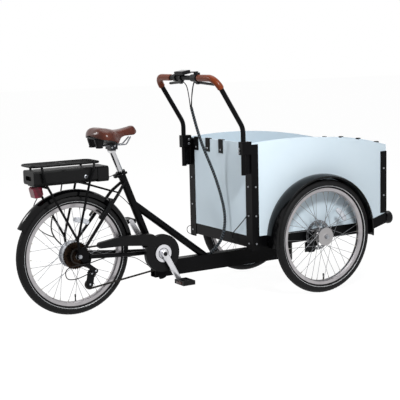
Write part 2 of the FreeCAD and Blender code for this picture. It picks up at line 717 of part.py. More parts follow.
for stay in pair(chain_stay) + pair(seat_stay):
    for solid in (seat_outer, shell_outer, plates[0], plates[1]):
        stay = stay.cut(solid)
    stays.append(max(stay.Solids, key=lambda solid: solid.Volume))
stay_slope = (seat_stay_bend - seat_stay_foot).normalize()


def up_stay(distance):
    """Point on the left seat stay's axis below its bend."""
    return seat_stay_foot + stay_slope * distance


bridge_radius = REAR_MUDGUARD_RADIUS + BRIDGE_RADIUS + 2 * TOUCH
foot_x = seat_stay_foot.x
foot_z = seat_stay_foot.z - AXLE_Z
slope = foot_x * stay_slope.x + foot_z * stay_slope.z
flat = stay_slope.x ** 2 + stay_slope.z ** 2
bridge_at = (-slope + math.sqrt(slope ** 2 - flat * (foot_x ** 2 + foot_z ** 2 - bridge_radius ** 2))) / flat
bridge_end = up_stay(bridge_at)
bridge = rod(V(bridge_end.x, -bridge_end.y, bridge_end.z), bridge_end, BRIDGE_RADIUS)
for stay in stays:
    bridge = bridge.cut(stay)
bridge = max(bridge.Solids, key=lambda solid: solid.Volume)

# Brake studs stand on the seat stays, square to them
brake_pivot = up_stay((BRAKE_PIVOT_Z - seat_stay_foot.z) / stay_slope.z)
stay_flat = V(stay_slope.x, 0, stay_slope.z).normalize()
stud_out = V(-stay_flat.z, 0, stay_flat.x)
stud_from = SEAT_STAY_RADIUS - 2
stud_to = SEAT_STAY_RADIUS + BRAKE_ARM_THICKNESS + 3
stud = rod(brake_pivot + stud_out * stud_from, brake_pivot + stud_out * stud_to, BRAKE_STUD_RADIUS)
studded = []
for stay, post in zip(stays[2:], pair(stud)):
    studded.append(stay.fuse(post))
nodes["rear_stays"] = stays[:2] + studded + plates + [bridge]

# Rim brake arms: drawn in local axes, x up the stay, y across, z along the stud
arm_low = SEAT_STAY_RADIUS + 1
pad_face = RIM_WIDTH / 2 + BRAKE_PAD_GAP - brake_pivot.y


def local_link(circles, low, high):
    """Plate round circles drawn in the local x, y plane."""
    plate = link(circles, low, high)
    plate.rotate(ORIGIN, V(1, 0, 0), -90)
    return plate.mirror(ORIGIN, UP)


arm = local_link([(0, 0, 9), (BRAKE_ARM_LENGTH, 0, 6)], arm_low, arm_low + BRAKE_ARM_THICKNESS)
pad_middle = arm_low + BRAKE_ARM_THICKNESS / 2
holder = rod(V(BRAKE_PAD_UP, 0, pad_middle), V(BRAKE_PAD_UP, pad_face + 9, pad_middle), 3.5)
pad = block(
    (BRAKE_PAD_UP - BRAKE_PAD_HEIGHT / 2, BRAKE_PAD_UP + BRAKE_PAD_HEIGHT / 2), (pad_face, pad_face + 10),
    (pad_middle - BRAKE_PAD_LENGTH / 2, pad_middle + BRAKE_PAD_LENGTH / 2),
)
arm = arm.fuse(holder).fuse(pad)
arm = arm.cut(rod(V(0, 0, 0), V(0, 0, stud_to + 5), BRAKE_STUD_RADIUS + RUN_FIT))
brake_arm = in_local(arm, brake_pivot, stay_flat, ACROSS)
nodes["brake_arm_left"] = brake_arm
nodes["brake_arm_right"] = mirrored(brake_arm)

# Crank, chainring and pedals
spindle_end = V(0, CRANK_INSET + CRANK_THICKNESS / 2, 0)
nodes["crank_spindle"] = rod(bracket - spindle_end, bracket + spindle_end, SPINDLE_RADIUS)
crank_turn = math.radians(CRANK_ANGLE)
crank_tip = (CRANK_LENGTH * math.cos(crank_turn), CRANK_LENGTH * math.sin(crank_turn))
crank_outer = CRANK_INSET + CRANK_THICKNESS
pedal_start = crank_outer + 6
pedal_end = pedal_start + PEDAL_LENGTH
spindle_bore = rod(V(0, -crank_outer, 0), V(0, crank_outer, 0), SPINDLE_RADIUS + TOUCH / 2)


def crank_arm(tip_x, tip_z):
    """Left-hand crank arm with its boss and pedal spindle, about the crank axis."""
    arm = link([(0, 0, 17), (tip_x, tip_z, 13)], CRANK_INSET, crank_outer)
    boss = rod(V(0, BRACKET_WIDTH / 2 + 4, 0), V(0, CRANK_INSET, 0), 16)
    stub = rod(V(tip_x, crank_outer, tip_z), V(tip_x, pedal_end - 8, tip_z), PEDAL_SPINDLE_RADIUS)
    return arm.fuse(boss).fuse(stub)


def make_pedal(tip_x, tip_z):
    """Left-hand pedal: barrel, two cage bars and end plates round open windows."""
    width = PEDAL_WIDTH / 2
    half = PEDAL_THICKNESS / 2
    body = block((-width, width), (pedal_start, pedal_end), (-half, half))
    windows = []
    for low, high in ((-width + 12, -14), (14, width - 12)):
        windows.append(block((low, high), (pedal_start + 12, pedal_end - 12), (-half, half)))
    body = body.cut(Part.makeCompound(windows))
    body = body.cut(rod(V(0, pedal_start, 0), V(0, pedal_end - 7, 0), PEDAL_SPINDLE_RADIUS + RUN_FIT))
    return moved(body, BRACKET_X + tip_x, 0, BRACKET_Z + tip_z)


left_crank = crank_arm(-crank_tip[0], -crank_tip[1]).cut(spindle_bore)
right_crank = mirrored(crank_arm(crank_tip[0], crank_tip[1]))
guard = rod(V(0, -CASE_OUTER - 7, 0), V(0, -CASE_OUTER - 4, 0), GUARD_RADIUS)
right_crank = right_crank.fuse(guard).cut(spindle_bore)
nodes["crank_arms"] = [moved(arm, BRACKET_X, 0, BRACKET_Z) for arm in (left_crank, right_crank)]
nodes["pedal_left"] = make_pedal(-crank_tip[0], -crank_tip[1])
nodes["pedal_right"] = mirrored(make_pedal(crank_tip[0], crank_tip[1]))

ring_radius = pitch_radius(CHAINRING_TEETH)
chainring = toothed_plate(CHAINRING_TEETH, chain_y, SPROCKET_THICKNESS, 16 + TOUCH / 2)
windows = []
for k in range(5):
    middle = 2 * math.pi * k / 5
    corners = [
        on_wheel(28, middle - 0.30, chain_y - 2), on_wheel(28, middle + 0.30, chain_y - 2),
        on_wheel(ring_radius - 18, middle + 0.48, chain_y - 2), on_wheel(ring_radius - 15, middle, chain_y - 2),
        on_wheel(ring_radius - 18, middle - 0.48, chain_y - 2),
    ]
    windows.append(face_of(corners).extrude(V(0, 4, 0)))
nodes["chainring"] = moved(chainring.cut(Part.makeCompound(windows)), BRACKET_X, 0, BRACKET_Z)

# Chain: two loops of plates, joined by rollers on the runs that are free of the sprockets
cassette_radius = pitch_radius(CHAIN_TEETH)
pulley_radius = pitch_radius(PULLEY_TEETH)
route = [
    (BRACKET_X, BRACKET_Z, ring_radius, 1),
    (0, AXLE_Z, cassette_radius, 1),
    (GUIDE_PULLEY[0], GUIDE_PULLEY[1], pulley_radius, -1),
    (TENSION_PULLEY[0], TENSION_PULLEY[1], pulley_radius, 1),
]
grow = CHAIN_HEIGHT / 2
chain_low = chain_y - CHAIN_WIDTH / 2
outside = Part.Face(belt_wire([(x, z, r + s * grow, s) for x, z, r, s in route], chain_low))
inside = Part.Face(belt_wire([(x, z, r - s * grow, s) for x, z, r, s in route], chain_low))
band = outside.extrude(V(0, CHAIN_WIDTH, 0)).cut(inside.extrude(V(0, CHAIN_WIDTH, 0)))
slot = block((-200, BRACKET_X + 200), (chain_y - CHAIN_GAP / 2, chain_y + CHAIN_GAP / 2), (0, 2 * AXLE_Z))
chain = band.cut(slot)
runs = [edge for edge in belt_wire(route, chain_y).Edges if edge.Curve.TypeId == "Part::GeomLine"]
rollers = []
for run in runs:
    steps = int(run.Length / LINK_PITCH) - 3
    for k in range(4, steps):
        middle = run.valueAt(run.FirstParameter + k * LINK_PITCH)
        low = middle - V(0, CHAIN_GAP / 2 + 0.5, 0)
        rollers.append(prism(low, middle + V(0, CHAIN_GAP / 2 + 0.5, 0), ROLLER_RADIUS, 6))
nodes["chain"] = chain.multiFuse(rollers)

# Chain case: a cover over the chainring and the upper run, open towards the wheel, on a plate from the bracket
arm_circles = list(CASE_ARM)
thin = [(x, z, r - CASE_WALL) for x, z, r in arm_circles]
disc_at = V(BRACKET_X, 0, BRACKET_Z)
case = rod(disc_at - V(0, CASE_OUTER, 0), disc_at - V(0, CASE_INNER, 0), CASE_RADIUS)
case = case.fuse(chain_of_links(arm_circles, -CASE_OUTER, -CASE_INNER))
room = rod(disc_at - V(0, CASE_OUTER - CASE_WALL, 0), disc_at - V(0, CASE_INNER - 1, 0), CASE_RADIUS - CASE_WALL)
room = room.fuse(chain_of_links(thin, CASE_WALL - CASE_OUTER, 1 - CASE_INNER)).removeSplitter()
crank_hole = rod(disc_at - V(0, CASE_OUTER + 1, 0), disc_at - V(0, CASE_INNER - 1, 0), 30)
cover = case.removeSplitter().cut(room).cut(crank_hole)
plate_y = -BRACKET_WIDTH / 2 - TOUCH
carrier = link(
    [(BRACKET_X, BRACKET_Z, BRACKET_RADIUS), (CASE_POST[0], CASE_POST[1], 2 * CASE_POST_RADIUS)],
    plate_y - CASE_BRACKET, plate_y,
)
carrier = carrier.cut(rod(disc_at - V(0, BRACKET_WIDTH, 0), disc_at, BRACKET_RADIUS - TUBE_WALL))
post_from = V(CASE_POST[0], plate_y - CASE_BRACKET / 2, CASE_POST[1])
post_to = V(CASE_POST[0], CASE_WALL / 2 - CASE_OUTER, CASE_POST[1])
nodes["chain_case"] = cover.fuse(carrier.fuse(rod(post_from, post_to, CASE_POST_RADIUS)))

# Derailleur: knuckles, outer link and a two-plate cage that carries the pulleys
cage_gap = CHAIN_WIDTH / 2 + 1
cage_plate = 2.0
hanger = V(40, -half_space - DROPOUT - TOUCH, AXLE_Z - 47)
knuckle = (GUIDE_PULLEY[0] + 8, GUIDE_PULLEY[1] + 17)
cage_circles = [(TENSION_PULLEY[0], TENSION_PULLEY[1], 17), (GUIDE_PULLEY[0], GUIDE_PULLEY[1], 18)]
knuckle_radius = 13.0
outer_plate = chain_of_links(
    cage_circles + [(knuckle[0], knuckle[1], knuckle_radius)], chain_y - cage_gap - cage_plate, chain_y - cage_gap
)
inner_plate = link(cage_circles, chain_y + cage_gap, chain_y + cage_gap + cage_plate)
pieces = [inner_plate]
for x, z in (GUIDE_PULLEY, TENSION_PULLEY):
    pieces.append(rod(
        V(x, chain_y - cage_gap - cage_plate - 2, z), V(x, chain_y + cage_gap + cage_plate + 2, z), 2.5
    ))
pieces.append(rod(V(hanger.x, hanger.y, hanger.z), V(hanger.x, hanger.y - 14, hanger.z), 12))
knuckle_end = V(knuckle[0], chain_y - cage_gap, knuckle[1])
pieces.append(rod(V(knuckle[0], hanger.y - 14, knuckle[1]), knuckle_end, knuckle_radius))
pieces.append(link([(hanger.x, hanger.z, 11), (knuckle[0], knuckle[1], 12)], hanger.y - 12, hanger.y - 2))
nodes["derailleur"] = outer_plate.multiFuse(pieces)

for name, (x, z) in (("guide_pulley", GUIDE_PULLEY), ("tension_pulley", TENSION_PULLEY)):
    wheel = toothed_plate(PULLEY_TEETH, 0, SPROCKET_THICKNESS, 2.5 + RUN_FIT)
    hub = rod(V(0, -cage_gap + 0.3, 0), V(0, cage_gap - 0.3, 0), 8)
    hub = hub.cut(rod(V(0, -cage_gap, 0), V(0, cage_gap, 0), 2.5 + RUN_FIT))
    nodes[name] = moved(wheel.fuse(hub), x, chain_y, z)


def mudguard(radius, edges, drop, lip, start, end):
    """Curved shell over a wheel: an arched section between two y edges, swept round the axle."""
    low, high = edges
    middle = (low + high) / 2
    outer = Part.Arc(V(radius - drop, low, 0), V(radius, middle, 0), V(radius - drop, high, 0))
    skin = radius - MUDGUARD_WALL
    inner = Part.Arc(
        V(skin - drop, high - MUDGUARD_WALL, 0), V(skin, middle, 0), V(skin - drop, low + MUDGUARD_WALL, 0)
    )
    corners = [
        V(radius - drop, high, 0), V(radius - drop - lip, high, 0),
        V(radius - drop - lip, high - MUDGUARD_WALL, 0), V(skin - drop, high - MUDGUARD_WALL, 0),
    ]
    foot = [
        V(skin - drop, low + MUDGUARD_WALL, 0), V(radius - drop - lip, low + MUDGUARD_WALL, 0),
        V(radius - drop - lip, low, 0), V(radius - drop, low, 0),
    ]
    lines = [outer.toShape()]
    for first, last in zip(corners, corners[1:]):
        lines.append(Part.LineSegment(first, last).toShape())
    lines.append(inner.toShape())
    for first, last in zip(foot, foot[1:]):
        lines.append(Part.LineSegment(first, last).toShape())
    shell = Part.Face(Part.Wire(lines)).revolve(ORIGIN, V(0, -1, 0), end - start)
    shell.rotate(ORIGIN, V(0, -1, 0), start)
    return shell


rear_half = REAR_MUDGUARD_WIDTH / 2
rear_guard = mudguard(
    REAR_MUDGUARD_RADIUS, (-rear_half, rear_half), REAR_MUDGUARD_DROP, REAR_MUDGUARD_LIP,
    REAR_MUDGUARD_FROM, REAR_MUDGUARD_TO,
)
nodes["rear_mudguard"] = moved(rear_guard, 0, 0, AXLE_Z)
side_y = BOX_WIDTH / 2
front_guard = mudguard(
    MUDGUARD_RADIUS, (side_y + 3 * TOUCH, TRACK / 2 + MUDGUARD_OUTWARD), MUDGUARD_EDGE_DROP, MUDGUARD_LIP,
    MUDGUARD_FROM, MUDGUARD_TO,
)
nodes["front_mudguards"] = pair(moved(front_guard, WHEEL_BASE, 0, AXLE_Z))

# Cart chassis: side rails that rise at the front, cross rails and the kingpin's cross member
BOX_FRONT = BOX_REAR + BOX_LENGTH
KICK_FROM = BOX_FRONT - KICK_LENGTH


def along_floor(level):
    """Line of (x, z) points parallel to the rails, level above the rails' top."""
    return [(BOX_REAR, RAIL_TOP + level), (KICK_FROM, RAIL_TOP + level), (BOX_FRONT, RAIL_TOP + KICK_RISE + level)]


def rail_outline(inset, overrun):
    """Side view of a rail, drawn in by its wall and run past its open rear end."""
    top = along_floor(-inset)
    bottom = along_floor(inset - RAIL_HEIGHT)[::-1]
    outline = top + bottom
    outline[0] = (BOX_REAR - overrun, outline[0][1])
    outline[-1] = (BOX_REAR - overrun, outline[-1][1])
    if inset:
        outline[2] = (BOX_FRONT - inset, outline[2][1])
        outline[3] = (BOX_FRONT - inset, outline[3][1])
    return outline


rail = slab(rail_outline(0, 0), side_y - RAIL_WIDTH, side_y)
rail = rail.cut(slab(rail_outline(RAIL_WALL, 10), side_y - RAIL_WIDTH + RAIL_WALL, side_y - RAIL_WALL))
inner_y = side_y - RAIL_WIDTH


def cross_rail(x_low, x_high, z_low, z_high):
    """Rectangular tube from one side rail to the other."""
    outer = block((x_low, x_high), (-inner_y, inner_y), (z_low, z_high))
    inside = block(
        (x_low + RAIL_WALL, x_high - RAIL_WALL), (-inner_y, inner_y), (z_low + RAIL_WALL, z_high - RAIL_WALL)
    )
    return outer.cut(inside)


front_rail_top = RAIL_TOP + KICK_RISE * (1 - RAIL_WIDTH / KICK_LENGTH)
nodes["cart_chassis"] = pair(rail) + [
    cross_rail(BOX_REAR, BOX_REAR + RAIL_WIDTH, RAIL_BOTTOM, RAIL_TOP),
    cross_rail(KINGPIN_X - CROSS_MEMBER / 2, KINGPIN_X + CROSS_MEMBER / 2, RAIL_BOTTOM, RAIL_TOP),
    cross_rail(BOX_FRONT - RAIL_WIDTH, BOX_FRONT, front_rail_top - RAIL_HEIGHT, front_rail_top),
]
kingpin = rod(on_kingpin(HEAD_BOTTOM - 3), on_kingpin(RAIL_BOTTOM - TOUCH), KINGPIN_RADIUS)
kingpin = kingpin.fuse(rod(on_kingpin(HEAD_TOP + 3 * TOUCH), on_kingpin(RAIL_BOTTOM - TOUCH), BEARING_RADIUS + 10))
kingpin = kingpin.fuse(rod(on_kingpin(HEAD_BOTTOM - 13), on_kingpin(HEAD_BOTTOM - 3 * TOUCH), BEARING_RADIUS - 2))
nodes["kingpin"] = kingpin

# Floor and panels
inside_y = side_y - PANEL
floor_line = along_floor(TOUCH)
floor_top = along_floor(PANEL)[::-1]
floor_outline = floor_line + floor_top
floor_outline[0] = (BOX_REAR + PANEL + TOUCH, floor_outline[0][1])
floor_outline[-1] = (BOX_REAR + PANEL + TOUCH, floor_outline[-1][1])
floor_front = KICK_RISE * (1 - (PANEL + TOUCH) / KICK_LENGTH)
floor_outline[2] = (BOX_FRONT - PANEL - TOUCH, RAIL_TOP + floor_front + TOUCH)
floor_outline[3] = (BOX_FRONT - PANEL - TOUCH, RAIL_TOP + floor_front + PANEL)
nodes["box_floor"] = slab(floor_outline, TOUCH - inside_y, inside_y - TOUCH)

rear_top = RAIL_TOP + BOX_REAR_HEIGHT
middle_top = RAIL_TOP + BOX_MIDDLE_HEIGHT
front_top = RAIL_TOP + BOX_FRONT_HEIGHT
y = inside_y
crest = Part.Arc(
    V(BOX_REAR, y, rear_top), V(BOX_REAR + BOX_LENGTH / 2, y, middle_top), V(BOX_FRONT, y, front_top)
)
lower = [V(x, y, z) for x, z in along_floor(TOUCH)[::-1]]
corners = [V(BOX_FRONT, y, front_top)] + lower + [V(BOX_REAR, y, rear_top)]
outline = [crest.toShape()] + [Part.LineSegment(a, b).toShape() for a, b in zip(corners, corners[1:])]
side_panel = Part.Face(Part.Wire(outline)).extrude(V(0, PANEL, 0))
nodes["side_panels"] = pair(side_panel)

clear_y = inside_y - TOUCH
nodes["rear_panel"] = block((BOX_REAR, BOX_REAR + PANEL), (-clear_y, clear_y), (RAIL_TOP + TOUCH, rear_top))
front_foot = RAIL_TOP + KICK_RISE + TOUCH
face_x = BOX_FRONT - PANEL
crown = Part.Arc(V(face_x, -clear_y, front_top), V(face_x, 0, front_top + FRONT_CROWN), V(face_x, clear_y, front_top))
corners = [
    V(face_x, clear_y, front_top), V(face_x, clear_y, front_foot),
    V(face_x, -clear_y, front_foot), V(face_x, -clear_y, front_top),
]
outline = [crown.toShape()] + [Part.LineSegment(a, b).toShape() for a, b in zip(corners, corners[1:])]
nodes["front_panel"] = Part.Face(Part.Wire(outline)).extrude(V(PANEL, 0, 0))


def corner_post(corner_x, inward, end_leg, z_low, z_high):
    """Angle profile round a left corner of the box; inward is the x direction along the side."""
    out_x = corner_x - inward * POST_WALL
    leg_x = corner_x + inward * POST_LEG
    plan = [
        (out_x, side_y + POST_WALL), (leg_x, side_y + POST_WALL), (leg_x, side_y),
        (corner_x, side_y), (corner_x, side_y - end_leg), (out_x, side_y - end_leg),
    ]
    return face_of([V(x, y, z_low) for x, y in plan]).extrude(V(0, 0, z_high - z_low))


rear_post = corner_post(BOX_REAR, 1, REAR_POST_LEG, RAIL_BOTTOM - POST_DROP, rear_top - POST_SHORT)
front_post = corner_post(BOX_FRONT, -1, POST_LEG, RAIL_TOP + KICK_RISE, front_top - FRONT_POST_SHORT)
posts = pair(rear_post) + pair(front_post)


def panel_hook(face_x, outward, top, y, width):
    """Bent strap over a panel's edge: long leg outside, short leg inside."""
    inner_x = face_x - outward * (PANEL + 3 * TOUCH)
    outer_x = face_x + outward * 3 * TOUCH
    thick = outward * HOOK_THICKNESS
    outline = [
        (outer_x, top - HOOK_LENGTH), (outer_x + thick, top - HOOK_LENGTH),
        (outer_x + thick, top + HOOK_THICKNESS), (inner_x - thick, top + HOOK_THICKNESS),
        (inner_x - thick, top - HOOK_INSIDE), (inner_x, top - HOOK_INSIDE), (inner_x, top), (outer_x, top),
    ]
    return slab(outline, y - width / 2, y + width / 2)


crown_radius = (clear_y ** 2 + FRONT_CROWN ** 2) / (2 * FRONT_CROWN)


def front_edge(y):
    """Height of the front panel's arched top edge."""
    return front_top + FRONT_CROWN - crown_radius + math.sqrt(crown_radius ** 2 - y ** 2)


hooks = []
for inset in REAR_HOOKS:
    hooks.append(panel_hook(BOX_REAR, -1, rear_top + 3 * TOUCH, side_y - inset, REAR_HOOK_WIDTH))
for inset in FRONT_HOOKS:
    y = side_y - inset
    hooks += pair(panel_hook(BOX_FRONT, 1, front_edge(y - HOOK_WIDTH / 2) + 3 * TOUCH, y, HOOK_WIDTH))

# Stub axles on plates bolted to the rails, with brake calipers
axle_plate_y = side_y + AXLE_PLATE
caliper_half = CALIPER_SIZE / 2
plate_outline = [
    (-45, RAIL_HEIGHT - RAIL_BELOW_AXLE - 4), (45, RAIL_HEIGHT - RAIL_BELOW_AXLE - 4), (45, -RAIL_BELOW_AXLE + 6),
    (14, -RAIL_BELOW_AXLE - 14), (CALIPER_X + caliper_half, CALIPER_Z - caliper_half),
    (CALIPER_X - caliper_half, CALIPER_Z - caliper_half), (CALIPER_X - caliper_half, CALIPER_Z + caliper_half),
    (-45, -RAIL_BELOW_AXLE + 6),
]
stub = slab([(WHEEL_BASE + x, AXLE_Z + z) for x, z in plate_outline], side_y, axle_plate_y)
shoulder_end = TRACK / 2 - ROTOR_INSET + ROTOR_THICKNESS / 2 - 3 * TOUCH
stub_end = TRACK / 2 + HUB_OUTER + AXLE_NUT


def on_axle(y):
    """Point on the left front wheel's axle."""
    return V(WHEEL_BASE, y, AXLE_Z)


stub = stub.fuse(rod(on_axle(axle_plate_y), on_axle(shoulder_end), STUB_SHOULDER))
stub = stub.fuse(rod(on_axle(shoulder_end), on_axle(stub_end), STUB_RADIUS))
stub = stub.fuse(prism(on_axle(TRACK / 2 + HUB_OUTER + 3 * TOUCH), on_axle(stub_end - 3), 12, 6))
nodes["stub_axles"] = pair(stub)

rotor_y = TRACK / 2 - ROTOR_INSET
caliper_x = WHEEL_BASE + CALIPER_X
caliper_z = AXLE_Z + CALIPER_Z
caliper = link(
    [(caliper_x - 12, caliper_z - 12, 12), (caliper_x + 12, caliper_z - 12, 12), (caliper_x + 8, caliper_z + 9, 15),
     (caliper_x - 10, caliper_z + 10, 12)],
    axle_plate_y + TOUCH, rotor_y + CALIPER_OUT,
)
rotor_room = rod(on_axle(rotor_y - 3), on_axle(rotor_y + 3), ROTOR_RADIUS + 3)
nodes["brake_calipers"] = pair(caliper.cut(rotor_room))

# Lamps: a turned housing on a bracket at each end of the front rail, with a domed lens
lamp_z = RAIL_TOP + KICK_RISE - LAMP_BELOW_RAIL_TOP
lamp_y = side_y - LAMP_INSET
lamp_back = BOX_FRONT + LAMP_STANDOFF
lamp_front = lamp_back + LAMP_DEPTH


def turned_lamp(outline):
    """Solid turned about the lamp's axis from (x, radius) corners."""
    shape = face_of([V(x, r, 0) for x, r in outline]).revolve(ORIGIN, V(1, 0, 0), 360)
    return moved(shape, 0, lamp_y, lamp_z)


housing = turned_lamp([
    (lamp_back, 0), (lamp_back, LAMP_RADIUS * 0.45), (lamp_back + LAMP_DEPTH * 0.3, LAMP_RADIUS * 0.86),
    (lamp_back + LAMP_DEPTH * 0.7, LAMP_RADIUS), (lamp_front, LAMP_RADIUS), (lamp_front, 0),
])
bracket_plate = block((BOX_FRONT + TOUCH, lamp_back + 4), (lamp_y - 10, lamp_y + 10), (lamp_z - 12, lamp_z + 12))
nodes["headlamps"] = pair(housing.fuse(bracket_plate))
lens_edge = LAMP_RADIUS * 0.92
nodes["lamp_lenses"] = pair(turned_lamp([
    (lamp_front + TOUCH, 0), (lamp_front + TOUCH, lens_edge), (lamp_front + 4, lens_edge),
    (lamp_front + LENS_DEPTH * 0.8, lens_edge * 0.62), (lamp_front + LENS_DEPTH, 0),
]))

# Handlebar: one bent tube held in two clamps behind the rear corners
bar_x = BOX_REAR - BAR_SETBACK
bar_y = BOX_WIDTH / 2 - BAR_INSET
top_x = bar_x - BAR_REACH
bar_path = arc_path([
    V(bar_x, -bar_y, BAR_FOOT_Z), V(bar_x, -bar_y, BAR_BEND_Z), V(top_x, -bar_y, BAR_TOP_Z),
    V(top_x, bar_y, BAR_TOP_Z), V(bar_x, bar_y, BAR_BEND_Z), V(bar_x, bar_y, BAR_FOOT_Z),
], [BAR_LOWER_BEND, BAR_UPPER_BEND, BAR_UPPER_BEND, BAR_LOWER_BEND])
nodes["handlebar"] = swept(bar_path, BAR_RADIUS).cut(swept(bar_path, BAR_RADIUS - BAR_WALL))

leg_down = (V(bar_x, 0, BAR_BEND_Z) - V(top_x, 0, BAR_TOP_Z)).normalize()
grip_corner = V(top_x, bar_y, BAR_TOP_Z)
grip_path = bent_path([
    grip_corner - ACROSS * (BAR_UPPER_BEND + GRIP_ALONG_BAR), grip_corner,
    grip_corner + leg_down * (BAR_UPPER_BEND + GRIP_DOWN_LEG),
], BAR_UPPER_BEND)
grip = swept(grip_path, GRIP_RADIUS).cut(swept(grip_path, BAR_RADIUS + TOUCH))
nodes["grips"] = pair(grip)

clamp_face = BOX_REAR - POST_WALL - TOUCH
clamp_low = CLAMP_TOP_Z - CLAMP_HEIGHT
clamp = block(
    (bar_x - CLAMP_WIDTH / 2, clamp_face), (bar_y - CLAMP_WIDTH / 2, bar_y + CLAMP_WIDTH / 2), (clamp_low, CLAMP_TOP_Z)
)
clamp = clamp.cut(rod(V(bar_x, bar_y, clamp_low), V(bar_x, bar_y, CLAMP_TOP_Z), BAR_RADIUS + TOUCH))
nodes["corner_posts"] = posts + pair(clamp)

# Bolt heads on the posts and clamps
bolts = []
side_face = side_y + POST_WALL + TOUCH
rear_face = BOX_REAR - POST_WALL - TOUCH
for z in (RAIL_BOTTOM + 22, rear_top - 378, rear_top - 226):
    for start, out in (
        (V(BOX_REAR + POST_LEG / 2, side_face, z), V(0, BOLT_HEAD, 0)),
        (V(rear_face, side_y - REAR_POST_LEG / 2, z), V(-BOLT_HEAD, 0, 0)),
    ):
        bolts += pair(prism(start, start + out, BOLT_RADIUS, 6))
for z in (front_top - 284, front_top - 132):
    start = V(BOX_FRONT - POST_LEG / 2, side_face, z)
    bolts += pair(prism(start, start + V(0, BOLT_HEAD, 0), BOLT_RADIUS, 6))
for z in (clamp_low + 20, clamp_low + 44):
    start = V(bar_x + 22, bar_y - CLAMP_WIDTH / 2 - TOUCH, z)
    bolts += pair(prism(start, start - V(0, BOLT_HEAD, 0), BOLT_RADIUS, 6))
nodes["box_fittings"] = hooks + bolts

# Brake levers: local x outwards along the bar, y from the bar towards the lever
droop = math.radians(LEVER_DROOP)
lever_out = V(math.cos(droop), 0, math.sin(droop))
bar_middle = V(top_x, 0, BAR_TOP_Z)
lever_tip = LEVER_PIVOT_Y + LEVER_LENGTH
blade = local_link(
    [(LEVER_PIVOT_Y, LEVER_PIVOT_OUT, 7), (lever_tip, LEVER_PIVOT_OUT + 14, 6)],
    -LEVER_THICKNESS / 2, LEVER_THICKNESS / 2,
)
pin_hole = rod(
    V(LEVER_PIVOT_Y, LEVER_PIVOT_OUT, -20), V(LEVER_PIVOT_Y, LEVER_PIVOT_OUT, 20), LEVER_PIN_RADIUS + RUN_FIT
)
blade = in_local(blade.cut(pin_hole), bar_middle, ACROSS, lever_out)
nodes["brake_lever_left"] = blade
nodes["brake_lever_right"] = mirrored(blade)

ear_low = LEVER_THICKNESS / 2 + 0.3
ear_high = ear_low + 4
housing_from = LEVER_PIVOT_Y - HOUSING_WIDTH / 2
ring = rod(V(housing_from, 0, 0), V(housing_from + HOUSING_WIDTH, 0, 0), HOUSING_RADIUS)
arm_reach = LEVER_PIVOT_OUT + 6
for low, high in ((ear_low, ear_high), (-ear_high, -ear_low)):
    ring = ring.fuse(block((housing_from, housing_from + 22), (0, arm_reach), (low, high)))
back_wall = block((housing_from - 6, housing_from), (0, arm_reach), (-ear_high, ear_high))
ring = ring.fuse(back_wall)
ring = ring.fuse(rod(
    V(LEVER_PIVOT_Y, LEVER_PIVOT_OUT, -ear_high), V(LEVER_PIVOT_Y, LEVER_PIVOT_OUT, ear_high), LEVER_PIN_RADIUS
))
ring = ring.cut(rod(V(0, 0, 0), V(2 * LEVER_PIVOT_Y, 0, 0), BAR_RADIUS + TOUCH))
lever_housing = in_local(ring, bar_middle, ACROSS, lever_out)

# Shifter pod and display on the crossbar, and the thumb lever
bar_bore = rod(V(top_x, -bar_y, BAR_TOP_Z), V(top_x, bar_y, BAR_TOP_Z), BAR_RADIUS + TOUCH)
shifter = rod(V(top_x, SHIFTER_Y - 12, BAR_TOP_Z), V(top_x, SHIFTER_Y + 12, BAR_TOP_Z), HOUSING_RADIUS)
pod_z = BAR_TOP_Z + HOUSING_RADIUS + 8
pod = rod(V(top_x + 4, SHIFTER_Y, BAR_TOP_Z + BAR_RADIUS + 2), V(top_x + 4, SHIFTER_Y, pod_z), 17)
post_top = pod_z + 7
shift_post = rod(V(top_x + 4, SHIFTER_Y, pod_z), V(top_x + 4, SHIFTER_Y, post_top), 3)
shifter = shifter.fuse(pod).fuse(shift_post).cut(bar_bore)
thumb = link([(0, 0, 8), (-34, 0, 5)], 0, 6)
thumb.rotate(ORIGIN, V(1, 0, 0), 90)
thumb = moved(thumb, top_x + 4, SHIFTER_Y, pod_z + 0.3 - thumb.BoundBox.ZMin)
thumb = thumb.cut(rod(V(top_x + 4, SHIFTER_Y, pod_z), V(top_x + 4, SHIFTER_Y, post_top + 2), 3 + RUN_FIT))
nodes["shift_lever"] = thumb

depth, width, height = DISPLAY_SIZE
screen = block((-depth / 2, depth / 2), (DISPLAY_Y - width / 2, DISPLAY_Y + width / 2), (0, height))
screen.rotate(ORIGIN, ACROSS, -DISPLAY_TILT)
screen = moved(screen, top_x + 6, 0, BAR_TOP_Z + BAR_RADIUS + DISPLAY_ABOVE)
saddle_clip = rod(V(top_x, DISPLAY_Y - 9, BAR_TOP_Z), V(top_x, DISPLAY_Y + 9, BAR_TOP_Z), HOUSING_RADIUS)
saddle_clip = saddle_clip.fuse(block(
    (top_x - 6, top_x + 14), (DISPLAY_Y - 9, DISPLAY_Y + 9), (BAR_TOP_Z, BAR_TOP_Z + BAR_RADIUS + DISPLAY_ABOVE + 4)
))
display = screen.fuse(saddle_clip).cut(bar_bore)
nodes["bar_controls"] = [lever_housing, mirrored(lever_housing), shifter, display]

